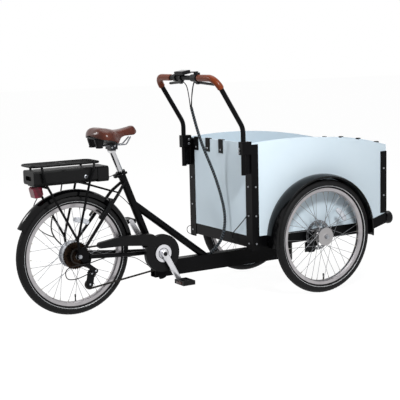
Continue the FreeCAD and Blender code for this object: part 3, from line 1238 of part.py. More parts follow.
# Seat post, collar and quick-release lever
collar_low = up_seat(SEAT_TUBE_ABOVE - COLLAR_HEIGHT)
collar = rod(collar_low, up_seat(SEAT_TUBE_ABOVE), COLLAR_RADIUS)
ears = block((-SKEWER_BEHIND - 8, 0), (-12, 12), (2, COLLAR_HEIGHT - 2))
collar_mid = COLLAR_HEIGHT / 2
cam_y = -COLLAR_RADIUS - 9
lever_radius = 6.0
neck_end = cam_y + lever_radius + 1
skewer = rod(V(-SKEWER_BEHIND, neck_end, collar_mid), V(-SKEWER_BEHIND, 16, collar_mid), SKEWER_RADIUS)
skewer = skewer.fuse(rod(V(-SKEWER_BEHIND, cam_y, collar_mid), V(-SKEWER_BEHIND, neck_end, collar_mid), 2.9))
eye = rod(V(-SKEWER_BEHIND, cam_y, collar_mid - 3), V(-SKEWER_BEHIND, cam_y, collar_mid + 3), 5)
eye = eye.fuse(rod(V(-SKEWER_BEHIND, cam_y, collar_mid - 5), V(-SKEWER_BEHIND, cam_y, collar_mid + 5), 2.5))
clamp_parts = in_local(ears.fuse(skewer).fuse(eye), collar_low, seat_ahead, ACROSS)
collar = collar.fuse(clamp_parts).cut(rod(up_seat(0), up_seat(SEAT_TUBE_ABOVE + 5), SEAT_TUBE_RADIUS + TOUCH))
nodes["seat_clamp"] = collar
lever_circles = [(-SKEWER_BEHIND, cam_y, lever_radius), (QR_LEVER_LENGTH - SKEWER_BEHIND, cam_y, 4.5)]
lever = local_link(lever_circles, collar_mid - 5, collar_mid + 5)
fork = block((-SKEWER_BEHIND - 8, 9 - SKEWER_BEHIND), (cam_y - 9, cam_y + 9), (collar_mid - 3.3, collar_mid + 3.3))
lever = lever.cut(fork)
lever = lever.cut(rod(V(-SKEWER_BEHIND, cam_y, 0), V(-SKEWER_BEHIND, cam_y, COLLAR_HEIGHT), 2.5 + RUN_FIT))
nodes["seat_lever"] = in_local(lever, collar_low, seat_ahead, ACROSS)

post_end = up_seat(SEAT_TUBE_ABOVE + POST_ABOVE_TUBE)
post = rod(up_seat(SEAT_TUBE_ABOVE - POST_IN_TUBE), post_end, POST_RADIUS)
head_z = SADDLE_RAIL_Z
post = post.fuse(rod(V(post_end.x, -18, post_end.z), V(post_end.x, 18, post_end.z), POST_RADIUS + 1))
jaw = block((post_end.x - 20, post_end.x + 20), (-RAIL_WIRE_Y - 7, RAIL_WIRE_Y + 7), (post_end.z + 6, head_z + 7))
wires = []
for side in (-1, 1):
    y = side * RAIL_WIRE_Y
    wires.append(rod(V(post_end.x - 40, y, head_z), V(post_end.x + 40, y, head_z), RAIL_WIRE_RADIUS + TOUCH))
nodes["seat_post"] = post.fuse(jaw).cut(Part.makeCompound(wires))

# Saddle: crowned cover lofted through arched sections (x, half width, top, bottom)
SADDLE_SECTIONS = (
    (112, 56, 917, 884), (134, 92, 930, 870), (178, 106, 931, 860), (228, 84, 922, 853),
    (276, 52, 919, 852), (322, 32, 926, 872), (358, 24, 925, 886), (375, 13, 913, 894),
)


def saddle_section(x, half, top, bottom):
    """Closed section: flat underside, bulging sides and an arched crown."""
    rise = top - bottom
    shoulder = bottom + 0.78 * rise
    left = V(x, half, bottom)
    right = V(x, -half, bottom)
    upper_left = V(x, 0.72 * half, shoulder)
    upper_right = V(x, -0.72 * half, shoulder)
    return Part.Wire([
        Part.LineSegment(right, left).toShape(),
        Part.Arc(left, V(x, 0.97 * half, bottom + 0.45 * rise), upper_left).toShape(),
        Part.Arc(upper_left, V(x, 0, top), upper_right).toShape(),
        Part.Arc(upper_right, V(x, -0.97 * half, bottom + 0.45 * rise), right).toShape(),
    ])


saddle_rise = SADDLE_RAIL_Z - 840.0
sections = [saddle_section(x, half, top + saddle_rise, low + saddle_rise) for x, half, top, low in SADDLE_SECTIONS]
nodes["saddle"] = Part.makeLoft(sections, True, False)

saddle_frame = []
rail_wire = swept(bent_path([
    V(338, 10, head_z + 36), V(306, RAIL_WIRE_Y, head_z), V(176, RAIL_WIRE_Y, head_z), V(146, 40, head_z + 2)
], 16), RAIL_WIRE_RADIUS)

elastomer = rod(V(146, 40, head_z - 8), V(146, 40, head_z + 50), ELASTOMER_RADIUS)
for half_frame in pair(rail_wire.fuse(elastomer)):
    trimmed = half_frame.cut(nodes["saddle"])
    saddle_frame.append(max(trimmed.Solids, key=lambda solid: -solid.BoundBox.ZMin))
nodes["saddle_frame"] = saddle_frame

# Rack deck: two bent side tubes with two long bars and a cross bar between them
rack_corner = 25.0
side_wire = swept(bent_path([
    V(RACK_REAR, 0, RACK_Z), V(RACK_REAR, RACK_HALF_WIDTH, RACK_Z),
    V(RACK_FRONT, RACK_HALF_WIDTH, RACK_Z), V(RACK_FRONT, 0, RACK_Z),
], rack_corner), RACK_WIRE_RADIUS)
deck = side_wire.fuse(mirrored(side_wire))
slats = []
for y in (-RACK_HALF_WIDTH / 3, RACK_HALF_WIDTH / 3):
    slats.append(rod(V(RACK_REAR, y, RACK_Z), V(RACK_FRONT, y, RACK_Z), RACK_SLAT_RADIUS))
middle_x = (RACK_REAR + RACK_FRONT) / 2
slats.append(rod(V(middle_x, -RACK_HALF_WIDTH, RACK_Z), V(middle_x, RACK_HALF_WIDTH, RACK_Z), RACK_SLAT_RADIUS))
nodes["rack_deck"] = deck.multiFuse(slats)

# Rack struts from the deck down to the dropouts, joined above the axle, with two cross bars under the battery dock
dock_bottom = BATTERY_BOTTOM - TOUCH - DOCK_THICKNESS
eyelet_y = half_space + DROPOUT + RACK_WIRE_RADIUS + TOUCH
front_bend = V(66, STRUT_OUT, dock_bottom + 1)
rear_bend = V(-168, STRUT_OUT, dock_bottom + 19)
strut_joint = V(-10, eyelet_y, AXLE_Z + 84)
strut_end = V(-2, eyelet_y, AXLE_Z + 19)
front_strut = swept(bent_path([
    V(100, RACK_HALF_WIDTH, RACK_Z), V(92, STRUT_OUT, RACK_Z - 33), front_bend, strut_joint, strut_end,
], 22), RACK_WIRE_RADIUS).cut(side_wire)
front_strut = min(front_strut.Solids, key=lambda solid: solid.BoundBox.ZMin)
rear_strut = swept(bent_path([
    V(-180, RACK_HALF_WIDTH, RACK_Z), V(-177, STRUT_OUT, RACK_Z - 35), rear_bend, strut_joint,
], 22), RACK_WIRE_RADIUS).cut(side_wire).cut(front_strut)
rear_strut = max(rear_strut.Solids, key=lambda solid: solid.Volume)
struts = pair(front_strut) + pair(rear_strut)
bar_z = dock_bottom - TOUCH - RACK_WIRE_RADIUS
cross_bars = []
for bend in (front_bend, rear_bend):
    share = (bend.z - bar_z) / (bend.z - strut_joint.z)
    x = bend.x + share * (strut_joint.x - bend.x)
    bar = rod(V(x, -STRUT_OUT, bar_z), V(x, STRUT_OUT, bar_z), RACK_WIRE_RADIUS)
    for strut in struts:
        bar = bar.cut(strut)
    cross_bars.append(max(bar.Solids, key=lambda solid: solid.Volume))

# Two stays hold the rack's front cross bar to the seat stays
front_bar_x = cross_bars[0].BoundBox.Center.x
rack_stay = rod(V(front_bar_x, seat_stay_bend.y + 8, bar_z), seat_stay_bend, RACK_STAY_RADIUS)
rack_stays = []
for rack_stay_side in pair(rack_stay):
    for solid in [cross_bars[0]] + stays[2:]:
        rack_stay_side = rack_stay_side.cut(solid)
    rack_stays.append(max(rack_stay_side.Solids, key=lambda solid: solid.Volume))
nodes["rack_struts"] = struts + cross_bars + rack_stays


def rounded_box(x, half_width, z, cut):
    """Block along x whose long edges are cut off at an angle."""
    low, high = z
    section = [
        (half_width - cut, low), (half_width, low + cut), (half_width, high - cut), (half_width - cut, high),
        (cut - half_width, high), (-half_width, high - cut), (-half_width, low + cut), (cut - half_width, low),
    ]
    return face_of([V(x[0], y, z) for y, z in section]).extrude(V(x[1] - x[0], 0, 0))


battery_z = (BATTERY_BOTTOM, BATTERY_BOTTOM + BATTERY_HEIGHT)
battery = rounded_box((BATTERY_REAR, BATTERY_FRONT), BATTERY_HALF_WIDTH, battery_z, 9)
finger_gap = rounded_box((BATTERY_REAR - 1, BATTERY_REAR + 14), 34, (BATTERY_BOTTOM + 20, battery_z[1] - 26), 6)
nodes["battery"] = battery.cut(finger_gap)
dock = block(
    (BATTERY_REAR + 12, CONTROLLER_FRONT), (-DOCK_HALF_WIDTH, DOCK_HALF_WIDTH), (dock_bottom, BATTERY_BOTTOM - TOUCH)
)
controller_z = (dock_bottom, battery_z[1])
controller = rounded_box((BATTERY_FRONT + 3, CONTROLLER_FRONT), BATTERY_HALF_WIDTH, controller_z, 9)
lamp_top = dock_bottom - 4
light_stem = block((BATTERY_REAR + 22, BATTERY_REAR + 50), (-14, 14), (lamp_top + TOUCH, dock_bottom))
nodes["battery_dock"] = dock.fuse(controller).fuse(light_stem)
light_rear = BATTERY_REAR + 9
light_front = BATTERY_REAR + 56
light_outline = [
    (light_rear, lamp_top - 9), (light_rear + 8, lamp_top), (light_front, lamp_top),
    (light_front + 6, lamp_top - 38), (light_front - 6, lamp_top - 52), (light_rear + 10, lamp_top - 54),
]
nodes["tail_light"] = slab(light_outline, -28, 28)

# Wrapped cable bundle from the handlebar down to the beam, and the thin cables that run into it
bundle_top = V(708, 0, 1008)
bundle = cord([
    bundle_top, V(735, 0, 905), V(775, -4, 785), V(822, -28, 655), V(846, -62, 525),
    V(853, -84, 425), V(846, -80, 335), V(829, -50, 262), V(800, -6, BEAM_TOP),
], BUNDLE_RADIUS)
beam_skin = block(beam_span, (-BEAM_WIDTH, BEAM_WIDTH), (BEAM_BOTTOM, BEAM_TOP + 3 * TOUCH))
bundle = bundle.cut(beam_skin)
lever_exit = bar_middle + lever_out * 30
cable_y = housing_from - 7
pod_edge = V(top_x + 16.4, SHIFTER_Y + 12.4, BAR_TOP_Z + 21)
bar_cables = [
    cord([
        V(lever_exit.x, -cable_y, lever_exit.z), V(lever_exit.x + 8, 32 - cable_y, lever_exit.z - 6),
        V(bundle_top.x - 2, -16, lever_exit.z - 66), V(bundle_top.x - 4, -3, bundle_top.z + 1),
    ], CABLE_RADIUS),
    cord([
        V(lever_exit.x, cable_y, lever_exit.z), V(lever_exit.x + 8, cable_y - 30, lever_exit.z - 8),
        V(bundle_top.x - 2, 18, lever_exit.z - 68), V(bundle_top.x - 4, 3, bundle_top.z + 1),
    ], CABLE_RADIUS),
    cord([
        pod_edge, pod_edge + V(10, 22, -1), V(top_x + 34, -48, BAR_TOP_Z - 2), V(top_x + 38, -16, BAR_TOP_Z - 50),
        V(top_x + 37, -4, BAR_TOP_Z - 100), V(bundle_top.x + 3, 0, bundle_top.z + 2),
    ], CABLE_RADIUS),
]
nodes["cable_bundle"] = [bundle] + bar_cables

# Leads at the rear: battery and motor leads beside the left dropout, and the shift cable's loop
motor_lead = cord([
    V(-30, 36, dock_bottom - 1), V(-36, 52, 600), V(-54, 62, 545), V(-82, 64, 490),
    V(-90, 63, 432), V(-70, 63, 386), V(-36, 63, 350), V(-8, 63, AXLE_Z + 11),
], CABLE_RADIUS + 1)
battery_lead = cord([
    V(-130, 34, dock_bottom - 1), V(-150, 56, 610), V(-178, 66, 560), V(-186, 66, 500),
    V(-160, 66, 446), V(-112, 66, 408), V(-72, 65, 392),
], CABLE_RADIUS)
shift_cable = cord([
    V(140, -73, 283), V(100, -81, 279), V(64, -91, 274), V(26, -95, 268), V(-12, -92, 267), V(-44, -87, 264),
    V(-86, -83, 250), V(-80, -80, 200), V(-30, -80, 195), V(4, -80, 203), V(38, -80, 214), V(62.8, -80, 221),
], CABLE_RADIUS)
nodes["rear_cables"] = [motor_lead, battery_lead, shift_cable]

os.makedirs("parts", exist_ok=True)
for name, shape in nodes.items():
    if isinstance(shape, list):
        shape = Part.makeCompound(shape)
    placed = moved(shape, -MIDDLE_X, 0, 0)
    placed.exportStep("parts/" + name + ".step")
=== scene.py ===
# %% [markdown]
# # A cargo tricycle
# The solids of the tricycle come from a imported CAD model. This file dresses them: it gives every
# solid the finish of the real thing and adds what CAD leaves plain, such as tyre tread, the saddle's
# stuffed cover, smooth cables and the small parts that catch the light.

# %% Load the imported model
import math

import bpy
import numpy as np
from mathutils import Matrix, Vector


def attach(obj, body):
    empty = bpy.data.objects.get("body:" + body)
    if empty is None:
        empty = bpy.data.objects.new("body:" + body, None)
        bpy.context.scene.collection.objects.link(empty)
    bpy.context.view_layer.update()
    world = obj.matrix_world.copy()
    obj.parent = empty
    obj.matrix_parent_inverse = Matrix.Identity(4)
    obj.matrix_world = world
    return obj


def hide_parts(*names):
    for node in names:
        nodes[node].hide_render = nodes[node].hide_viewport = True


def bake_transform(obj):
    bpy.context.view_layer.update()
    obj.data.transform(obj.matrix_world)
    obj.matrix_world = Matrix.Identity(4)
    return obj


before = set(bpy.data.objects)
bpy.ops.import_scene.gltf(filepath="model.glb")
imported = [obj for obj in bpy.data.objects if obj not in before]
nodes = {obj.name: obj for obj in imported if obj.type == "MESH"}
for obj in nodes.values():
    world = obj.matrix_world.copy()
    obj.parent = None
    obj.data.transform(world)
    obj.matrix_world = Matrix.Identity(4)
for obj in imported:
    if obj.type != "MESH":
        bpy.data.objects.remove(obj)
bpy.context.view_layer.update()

scene = bpy.context.scene

# %% [markdown]
# ## Where things are
# The CAD model was laid out from the foot of the rear axle, in millimetres. One function turns such a
# place into metres in the model's own frame, so that every added piece uses the numbers of the real
# tricycle.

# %% Places
MM = 1000.0  # millimetres in a metre
MIDDLE = 765.0
AXLE_Z = 305.0
FRONT_X, FRONT_Y = 1288.0, 368.5
WHEELS = {
    "rear": (0.0, 0.0, "rear_wheel"),
    "front_left": (FRONT_X, FRONT_Y, "front_wheel_left"),
    "front_right": (FRONT_X, -FRONT_Y, "front_wheel_right"),
}
FORWARD, BACKWARD, LEFT, RIGHT, UP = (1, 0, 0), (-1, 0, 0), (0, 1, 0), (0, -1, 0), (0, 0, 1)


def place(points):
    """Millimetres from the rear axle's foot to metres in the frame: x - 765, then all / 1000."""
    return (np.asarray(points, float) - np.array([MIDDLE, 0.0, 0.0])) / MM


def grid(x, y, z):
    """Places, in metres, from coordinates in millimetres that are spread to one common shape."""
    return place(np.stack(np.broadcast_arrays(x, y, z), axis=-1))


# %% [markdown]
# ## Camera
# The photograph was taken from behind and to the right of the rider, a little above the saddle, with a
# long lens. A constraint could aim the camera, but would leave out its small roll, so its axes are built
# from its heading, its downward pitch and its roll.

# %% Camera
YAW, PITCH, ROLL = (math.radians(a) for a in (31.19, -8.18, -1.39))
CAMERA_PLACE = (-2128.1, -4751.4, 1308.4)
SENSOR = 36.0
FOCAL_PIXELS, FRAME_PIXELS = 1048.7, 400.0
toward = np.array([math.sin(YAW) * math.cos(PITCH), math.cos(YAW) * math.cos(PITCH), math.sin(PITCH)])
level_right = np.array([math.cos(YAW), -math.sin(YAW), 0.0])
level_up = np.cross(level_right, toward)
rolled_right = math.cos(ROLL) * level_right + math.sin(ROLL) * level_up
rolled_up = math.cos(ROLL) * level_up - math.sin(ROLL) * level_right
camera_data = bpy.data.cameras.new("camera")
camera_data.sensor_width = SENSOR
camera_data.lens = SENSOR * FOCAL_PIXELS / FRAME_PIXELS
camera = bpy.data.objects.new("camera", camera_data)
turn = Matrix([list(row) for row in np.stack([rolled_right, rolled_up, -toward], axis=1)]).to_4x4()
camera.matrix_world = Matrix.Translation(Vector(place(CAMERA_PLACE))) @ turn
scene.collection.objects.link(camera)
bpy.context.scene.camera = camera
print("lens", round(camera_data.lens, 1), "mm")

# %% [markdown]
# ## Light and floor
# Product photographs of vehicles are lit by soft boxes, so black paint shows long highlights. Here a
# small key lamp stands at the right, a wide one hangs overhead, and a back lamp at the rear left throws
# the cables' shadow on the box. A white surround comes from the world and the floor as the camera sees
# them, and the lamps stay at a plain level, so a colour renders about as it is written.

# %% Node helpers


def add(tree, kind, settings=None, links=None):
    """Adds one ShaderNode of a kind, sets its sockets or properties by name, and links sockets into it."""
    node = tree.nodes.new("ShaderNode" + kind)
    for key, value in (settings or {}).items():
        if isinstance(key, int) or key in node.inputs:
            node.inputs[key].default_value = value
        else:
            setattr(node, key, value)
    for key, socket in (links or {}).items():
        tree.links.new(socket, node.inputs[key])
    return node


def linear(hex_colour):
    """sRGB hex to linear light: c / 12.92 when c is small, otherwise ((c + 0.055) / 1.055) ^ 2.4."""
    channels = [int(hex_colour[i:i + 2], 16) / 255.0 for i in (1, 3, 5)]
    return tuple(c / 12.92 if c <= 0.04045 else ((c + 0.055) / 1.055) ** 2.4 for c in channels) + (1.0,)


def shows_white(tree):
    """1 for a ray that should meet a white surround: camera + glossy + transmission, at most 1."""
    path = add(tree, "LightPath").outputs
    two = add(tree, "Math", {"operation": "ADD"}, {0: path["Is Camera Ray"], 1: path["Is Glossy Ray"]})
    three = add(tree, "Math", {"operation": "ADD", "use_clamp": True},
                {0: two.outputs[0], 1: path["Is Transmission Ray"]})
    return three.outputs[0]


# %% World
WHITE = linear("#FFFFFF")
ROOM_LIGHT = 0.25
scene.view_settings.view_transform = "Standard"
world = bpy.data.worlds.new("studio")
scene.world = world
world.use_nodes = True
tree = world.node_tree
tree.nodes.clear()
dim = add(tree, "Background", {"Color": WHITE, "Strength": ROOM_LIGHT})
white = add(tree, "Background", {"Color": WHITE, "Strength": 1.0})
mix = add(tree, "MixShader", links={0: shows_white(tree), 1: dim.outputs[0], 2: white.outputs[0]})
add(tree, "OutputWorld", links={"Surface": mix.outputs[0]})
print("world", world.name, "light", ROOM_LIGHT)

# %% Floor
# The floor's glow takes 9 parts in 10 of what the camera sees, and the last part keeps the shadow.
FLOOR_REACH = 30.0
FLOOR_GLOW, GLOW_SHARE = 1.07, 0.9
floor_corners = FLOOR_REACH * np.array([(-1, -1, 0), (1, -1, 0), (1, 1, 0), (-1, 1, 0)])
floor_mesh = bpy.data.meshes.new("floor")
floor_mesh.from_pydata(floor_corners.tolist(), [], [(0, 1, 2, 3)])
floor = bpy.data.objects.new("floor", floor_mesh)
scene.collection.objects.link(floor)
floor_paint = bpy.data.materials.new("matt white floor paint")
floor_paint.use_nodes = True
tree = floor_paint.node_tree
tree.nodes.clear()
share = add(tree, "Math", {"operation": "MULTIPLY", 1: GLOW_SHARE}, {0: shows_white(tree)})
matt = add(tree, "BsdfDiffuse", {"Color": linear("#F2F2F2")})
glow = add(tree, "Emission", {"Color": WHITE, "Strength": FLOOR_GLOW})
mix = add(tree, "MixShader", links={0: share.outputs[0], 1: matt.outputs[0], 2: glow.outputs[0]})
add(tree, "OutputMaterial", links={"Surface": mix.outputs[0]})
floor_mesh.materials.append(floor_paint)
print("floor", 2 * FLOOR_REACH, "m wide")

# %% Lamps
# Each lamp is its place and its target in metres, its size in metres and its power in watts.
LAMPS = {
    "key": ((-0.24, -1.75, 1.9), (0.2, 0, 0.5), 0.35, 42),
    "top": ((0.4, 0.8, 5.0), (0.3, 0, 0.4), 4.0, 120),
    "back": ((-2.4, 1.7, 2.2), (0.1, 0, 0.65), 0.6, 37),
}
for name, (position, target, size, power) in LAMPS.items():
    lamp_data = bpy.data.lights.new(name, "AREA")
    lamp_data.size = size
    lamp_data.energy = power
    lamp = bpy.data.objects.new(name, lamp_data)
    lamp.location = position
    lamp.visible_camera = False
    lamp.rotation_euler = (Vector(target) - Vector(position)).to_track_quat("-Z", "Y").to_euler()
    scene.collection.objects.link(lamp)
print("lamps", list(LAMPS))

# %% [markdown]
# ## Finishes
# Each finish starts from what the real one is and how its surface was made. An image could give its grain,
# but noise needs no file and fits any piece. Patterns are sized in millimetres of Object coordinates.

# %% Where a finish changes
# One CAD solid may hold two materials, such as steel spokes in an alloy rim. A mask tells them apart by
# place: it is 1 where the second material is.
FAR = 9.0  # past the tricycle on any axis, in metres


def inside(low, high):
    """Mask: 1 inside a box of Object coordinates in metres, where |p - middle| < half on each axis."""
    half = (np.array(high) - np.array(low)) / 2
    middle = tuple(low + half)

    def mask(tree, where):
        away = add(tree, "VectorMath", {"operation": "SUBTRACT", 1: middle}, {0: where})
        away = add(tree, "VectorMath", {"operation": "ABSOLUTE"}, {0: away.outputs[0]})
        parts = add(tree, "SeparateXYZ", links={0: away.outputs[0]}).outputs
        x, y, z = (
            add(tree, "Math", {"operation": "LESS_THAN", 1: half[k]}, {0: parts[k]}).outputs[0]
            for k in range(3)
        )
        two = add(tree, "Math", {"operation": "MULTIPLY"}, {0: x, 1: y}).outputs[0]
        return add(tree, "Math", {"operation": "MULTIPLY"}, {0: two, 1: z}).outputs[0]
    return mask


def near_axle(wheel_x, radius):
    """Mask: 1 within a radius, in mm, of an axle along y, by the distance in x and z alone."""
    middle = tuple(place((wheel_x, 0.0, AXLE_Z)))

    def mask(tree, where):
        flat = add(tree, "VectorMath", {"operation": "MULTIPLY", 1: (1, 0, 1)}, {0: where})
        reach = add(tree, "VectorMath", {"operation": "DISTANCE", 1: middle}, {0: flat.outputs[0]})
        near = add(tree, "Math", {"operation": "LESS_THAN", 1: radius / MM}, {0: reach.outputs["Value"]})
        return near.outputs[0]
    return mask


def in_gap(tree, where):
    """Mask: the piece's own attribute gap, which is 1 between the turns of a wrap, wherever that is."""
    return add(tree, "Attribute", {"attribute_name": "gap"}).outputs["Fac"]


# %% Finish helper
NOISE_LOW, NOISE_HIGH = 0.35, 0.65
MOTTLE_DETAIL, GRAIN_DETAIL = 4.0, 3.0
BUMP_STRENGTH = 0.6
SOCKETS = {
    "rough": "Roughness", "shine": "Specular IOR Level", "metal": "Metallic", "clear": "Transmission Weight",
    "ior": "IOR",
}
finishes = {}


def finish(name, colour, grain, mottle, second=None, **levels):
    """One painted, moulded or metal finish.

    colour is the sRGB hex value. grain is (size in mm, height in mm) of the bumps in the surface.
    mottle is (size in mm, other hex colour, share) of slow changes of tone. Both come from noise that
    reads Object coordinates, whose unit is a metre, so a size in mm is a scale of 1000 / size.
    second is (mask, hex colour, metallic, roughness) of another material in the same solid.
    levels are the shader's own numbers, by the short words in SOCKETS.
    """
    settings = {SOCKETS[word]: value for word, value in levels.items()}
    material = bpy.data.materials.new(name)
    material.use_nodes = True
    tree = material.node_tree
    tree.nodes.clear()
    shader = add(tree, "BsdfPrincipled", {"Base Color": linear(colour), **settings})
    where = add(tree, "TexCoord").outputs["Object"]
    size, other, most = mottle
    noise = add(tree, "TexNoise", {"Scale": MM / size, "Detail": MOTTLE_DETAIL}, {"Vector": where})
    change = add(tree, "MapRange", {"From Min": NOISE_LOW, "From Max": NOISE_HIGH, "To Max": most},
                 {"Value": noise.outputs["Fac"]})
    tone = add(tree, "Mix", {"data_type": "RGBA", 6: linear(colour), 7: linear(other)},
               {0: change.outputs["Result"]}).outputs[2]
    if second:
        mask, other, metallic, roughness = second
        share = mask(tree, where)
        tone = add(tree, "Mix", {"data_type": "RGBA", 7: linear(other)}, {0: share, 6: tone}).outputs[2]
        for socket, value in (("Metallic", metallic), ("Roughness", roughness)):
            first = settings.get(socket, 0.0)
            if value != first:
                level = add(tree, "MapRange", {"To Min": first, "To Max": value}, {"Value": share})
                tree.links.new(level.outputs["Result"], shader.inputs[socket])
    tree.links.new(tone, shader.inputs["Base Color"])
    size, height = grain
    noise = add(tree, "TexNoise", {"Scale": MM / size, "Detail": GRAIN_DETAIL}, {"Vector": where})
    relief = {"Strength": BUMP_STRENGTH, "Distance": height / MM}
    bump = add(tree, "Bump", relief, {"Height": noise.outputs["Fac"]})
    tree.links.new(bump.outputs["Normal"], shader.inputs["Normal"])
    add(tree, "OutputMaterial", links={"Surface": shader.outputs[0]})
    finishes[name] = material


# %% Paint, plastic and rubber
# Carbon-black pigment is nearly the darkest there is, so these keep a low specular level: what shows is
# the shape of the highlights, not a grey veil. Powder coat melts into a skin with a faint orange peel.
finish("black powder coat on steel", "#040405", (4.0, 0.05), (60.0, "#08080A", 0.6), rough=0.36, shine=0.08)
# Plywood under a rolled acrylic paint: a fine roller stipple and almost no gloss.
finish("pale blue acrylic paint on plywood", "#CAD8E1", (5.0, 0.05), (180.0, "#C5D4DE", 0.7),
       rough=0.5, shine=0.25)
# Vulcanised rubber is dull and a little grey with dust.
finish("vulcanised tyre rubber", "#0F0F10", (3.0, 0.08), (25.0, "#131314", 0.7), rough=0.62, shine=0.16)
# Injection-moulded ABS from a polished tool, as on the mudguards.
finish("polished black ABS", "#030304", (30.0, 0.03), (90.0, "#060608", 0.5), rough=0.14, shine=0.18)
# Injection-moulded ABS from an eroded tool has a fine grain and a satin shine.
finish("eroded black ABS", "#070708", (1.6, 0.04), (50.0, "#0C0C0E", 0.6), rough=0.42, shine=0.15)
# Extruded PVC on cables is smooth with a dull shine.
finish("black PVC sheath", "#060607", (6.0, 0.02), (30.0, "#0B0B0D", 0.6), rough=0.4, shine=0.14)
# A spiral wrap is translucent polyethylene, greyer than the sheaths that show between its turns.
finish("smoky polyethylene wrap on black sheaths", "#3F484F", (6.0, 0.02), (30.0, "#363E45", 0.6),
       rough=0.36, shine=0.2, second=(in_gap, "#040405", 0.0, 0.5))

# %% Metals
# Rims are extruded, rolled and brushed, so their gloss is spread out.
finish("brushed aluminium", "#B0ADAF", (2.0, 0.01), (40.0, "#9A979A", 0.6), metal=1.0, rough=0.34)
# The cranks are forged and polished.
finish("polished forged aluminium", "#DEDEE2", (8.0, 0.02), (40.0, "#BEBFC3", 0.6), metal=1.0, rough=0.26)
# Spokes are drawn stainless wire, which looks darker than the die-cast and blasted motor shell they
# leave, because a thin wire mirrors the whole room at once.
finish("stainless spokes with a blasted motor shell", "#808286", (1.5, 0.03), (30.0, "#74767A", 0.6),
       metal=1.0, rough=0.3, second=(near_axle(0.0, 70.0), "#AEB0B4", 1.0, 0.45))
# A front hub is turned alloy inside its brake disc, which is ground steel.
finish("stainless spokes with a turned hub", "#7C7D80", (1.5, 0.02), (10.0, "#6C6D70", 0.6),
       metal=1.0, rough=0.36, second=(near_axle(FRONT_X, 51.0), "#A3A1A2", 1.0, 0.34))
# The seat post is chromed and ends in a darker cast jaw, from 812 mm up.
finish("chromed post with a cast jaw", "#C8C8CA", (20.0, 0.01), (50.0, "#B2B2B5", 0.6),
       metal=1.0, rough=0.14, second=(inside((-FAR, -FAR, 0.812), (FAR, FAR, FAR)), "#2C2D30", 1.0, 0.3))
# The crank's spindle is plated like the post.
finish("chromed steel", "#A2A3A6", (20.0, 0.01), (50.0, "#8C8D90", 0.6), metal=1.0, rough=0.14)
# The stub axles are painted, but their end nuts, past 402.5 mm from the middle, are zinc.
finish("painted axles with zinc nuts", "#A6A9AE", (3.0, 0.02), (12.0, "#8C8F94", 0.7),
       metal=1.0, rough=0.36, shine=0.15,
       second=(inside((-FAR, -0.4025, -FAR), (FAR, 0.4025, FAR)), "#040405", 0.0, 0.36))
# Zinc plating is a dull grey with a slight spangle.
finish("zinc-plated steel", "#A6A9AE", (3.0, 0.02), (12.0, "#8C8F94", 0.7), metal=1.0, rough=0.38)
# Hardened and oiled sprockets go bronze brown, and the chain between them is nearly black.
finish("oiled bronze-brown steel", "#32271F", (2.0, 0.02), (9.0, "#100D0B", 0.9), metal=1.0, rough=0.44)
finish("oiled chain steel", "#3A3836", (2.0, 0.02), (8.0, "#1C1A19", 0.8), metal=1.0, rough=0.4)
# Anodising leaves aluminium a dyed skin, so it is only partly a mirror.
finish("black anodised aluminium", "#0B0C0D", (1.5, 0.02), (20.0, "#131416", 0.6),
       metal=0.4, rough=0.4, shine=0.16)
# Hooks on the box's rim, above 700 mm, are black steel; the bolts at its corners are bare zinc.
finish("zinc bolts and black hooks", "#A6A9AE", (3.0, 0.02), (12.0, "#8C8F94", 0.7),
       metal=1.0, rough=0.38, shine=0.08,
       second=(inside((-FAR, -0.265, 0.7), (FAR, 0.265, FAR)), "#050506", 0.0, 0.36))
# The saddle's rails are chromed wire and end, at the rear, in black rubber springs.
finish("black rubber springs and chromed rails", "#060607", (3.0, 0.03), (25.0, "#0C0C0D", 0.7),
       rough=0.5, shine=0.15, second=(inside((-0.592, -FAR, -FAR), (FAR, FAR, FAR)), "#7E8084", 1.0, 0.2))

# %% Lenses and reflectors
# Moulded acrylic and polycarbonate are clear through and glossy, over a pattern of small prisms.
finish("red acrylic lens", "#6E142C", (4.0, 0.05), (12.0, "#430A19", 0.7), rough=0.16, shine=0.3)
finish("clear polycarbonate lens", "#F4F7F8", (9.0, 0.04), (20.0, "#E8EEF0", 0.5),
       rough=0.05, clear=0.85, ior=1.58)
finish("dark amber acrylic reflector", "#34130F", (2.5, 0.15), (6.0, "#45180F", 0.7), rough=0.2)
finish("clear acrylic reflector", "#DDE0E6", (2.5, 0.15), (8.0, "#CBD0D8", 0.6),
       rough=0.2, clear=0.35, ior=1.49)
# The band on a tyre holds glass beads in a grey film, and the display is a pane of smoked glass.
finish("grey retro-reflective band", "#B4B6B8", (2.0, 0.02), (10.0, "#A2A4A7", 0.5), rough=0.35)
finish("smoked glass", "#0A0C11", (15.0, 0.01), (20.0, "#10131A", 0.6), rough=0.08, shine=0.5)

# %% Covers and nipples
# The saddle's cover is embossed vinyl stretched over foam: a faint leather grain and a soft shine.
finish("brown embossed vinyl", "#4E2317", (2.5, 0.03), (45.0, "#391710", 0.7), rough=0.25, shine=0.22)
# The grips are waxed hide, which darkens where the hand holds it.
finish("tan stitched leather", "#692B0D", (2.5, 0.02), (35.0, "#552209", 0.6), rough=0.34, shine=0.18)
# Spoke nipples are brass with a thin, warm grey plating.
finish("nickel-plated brass", "#A5A29B", (1.0, 0.01), (6.0, "#87837B", 0.5), metal=1.0, rough=0.28)

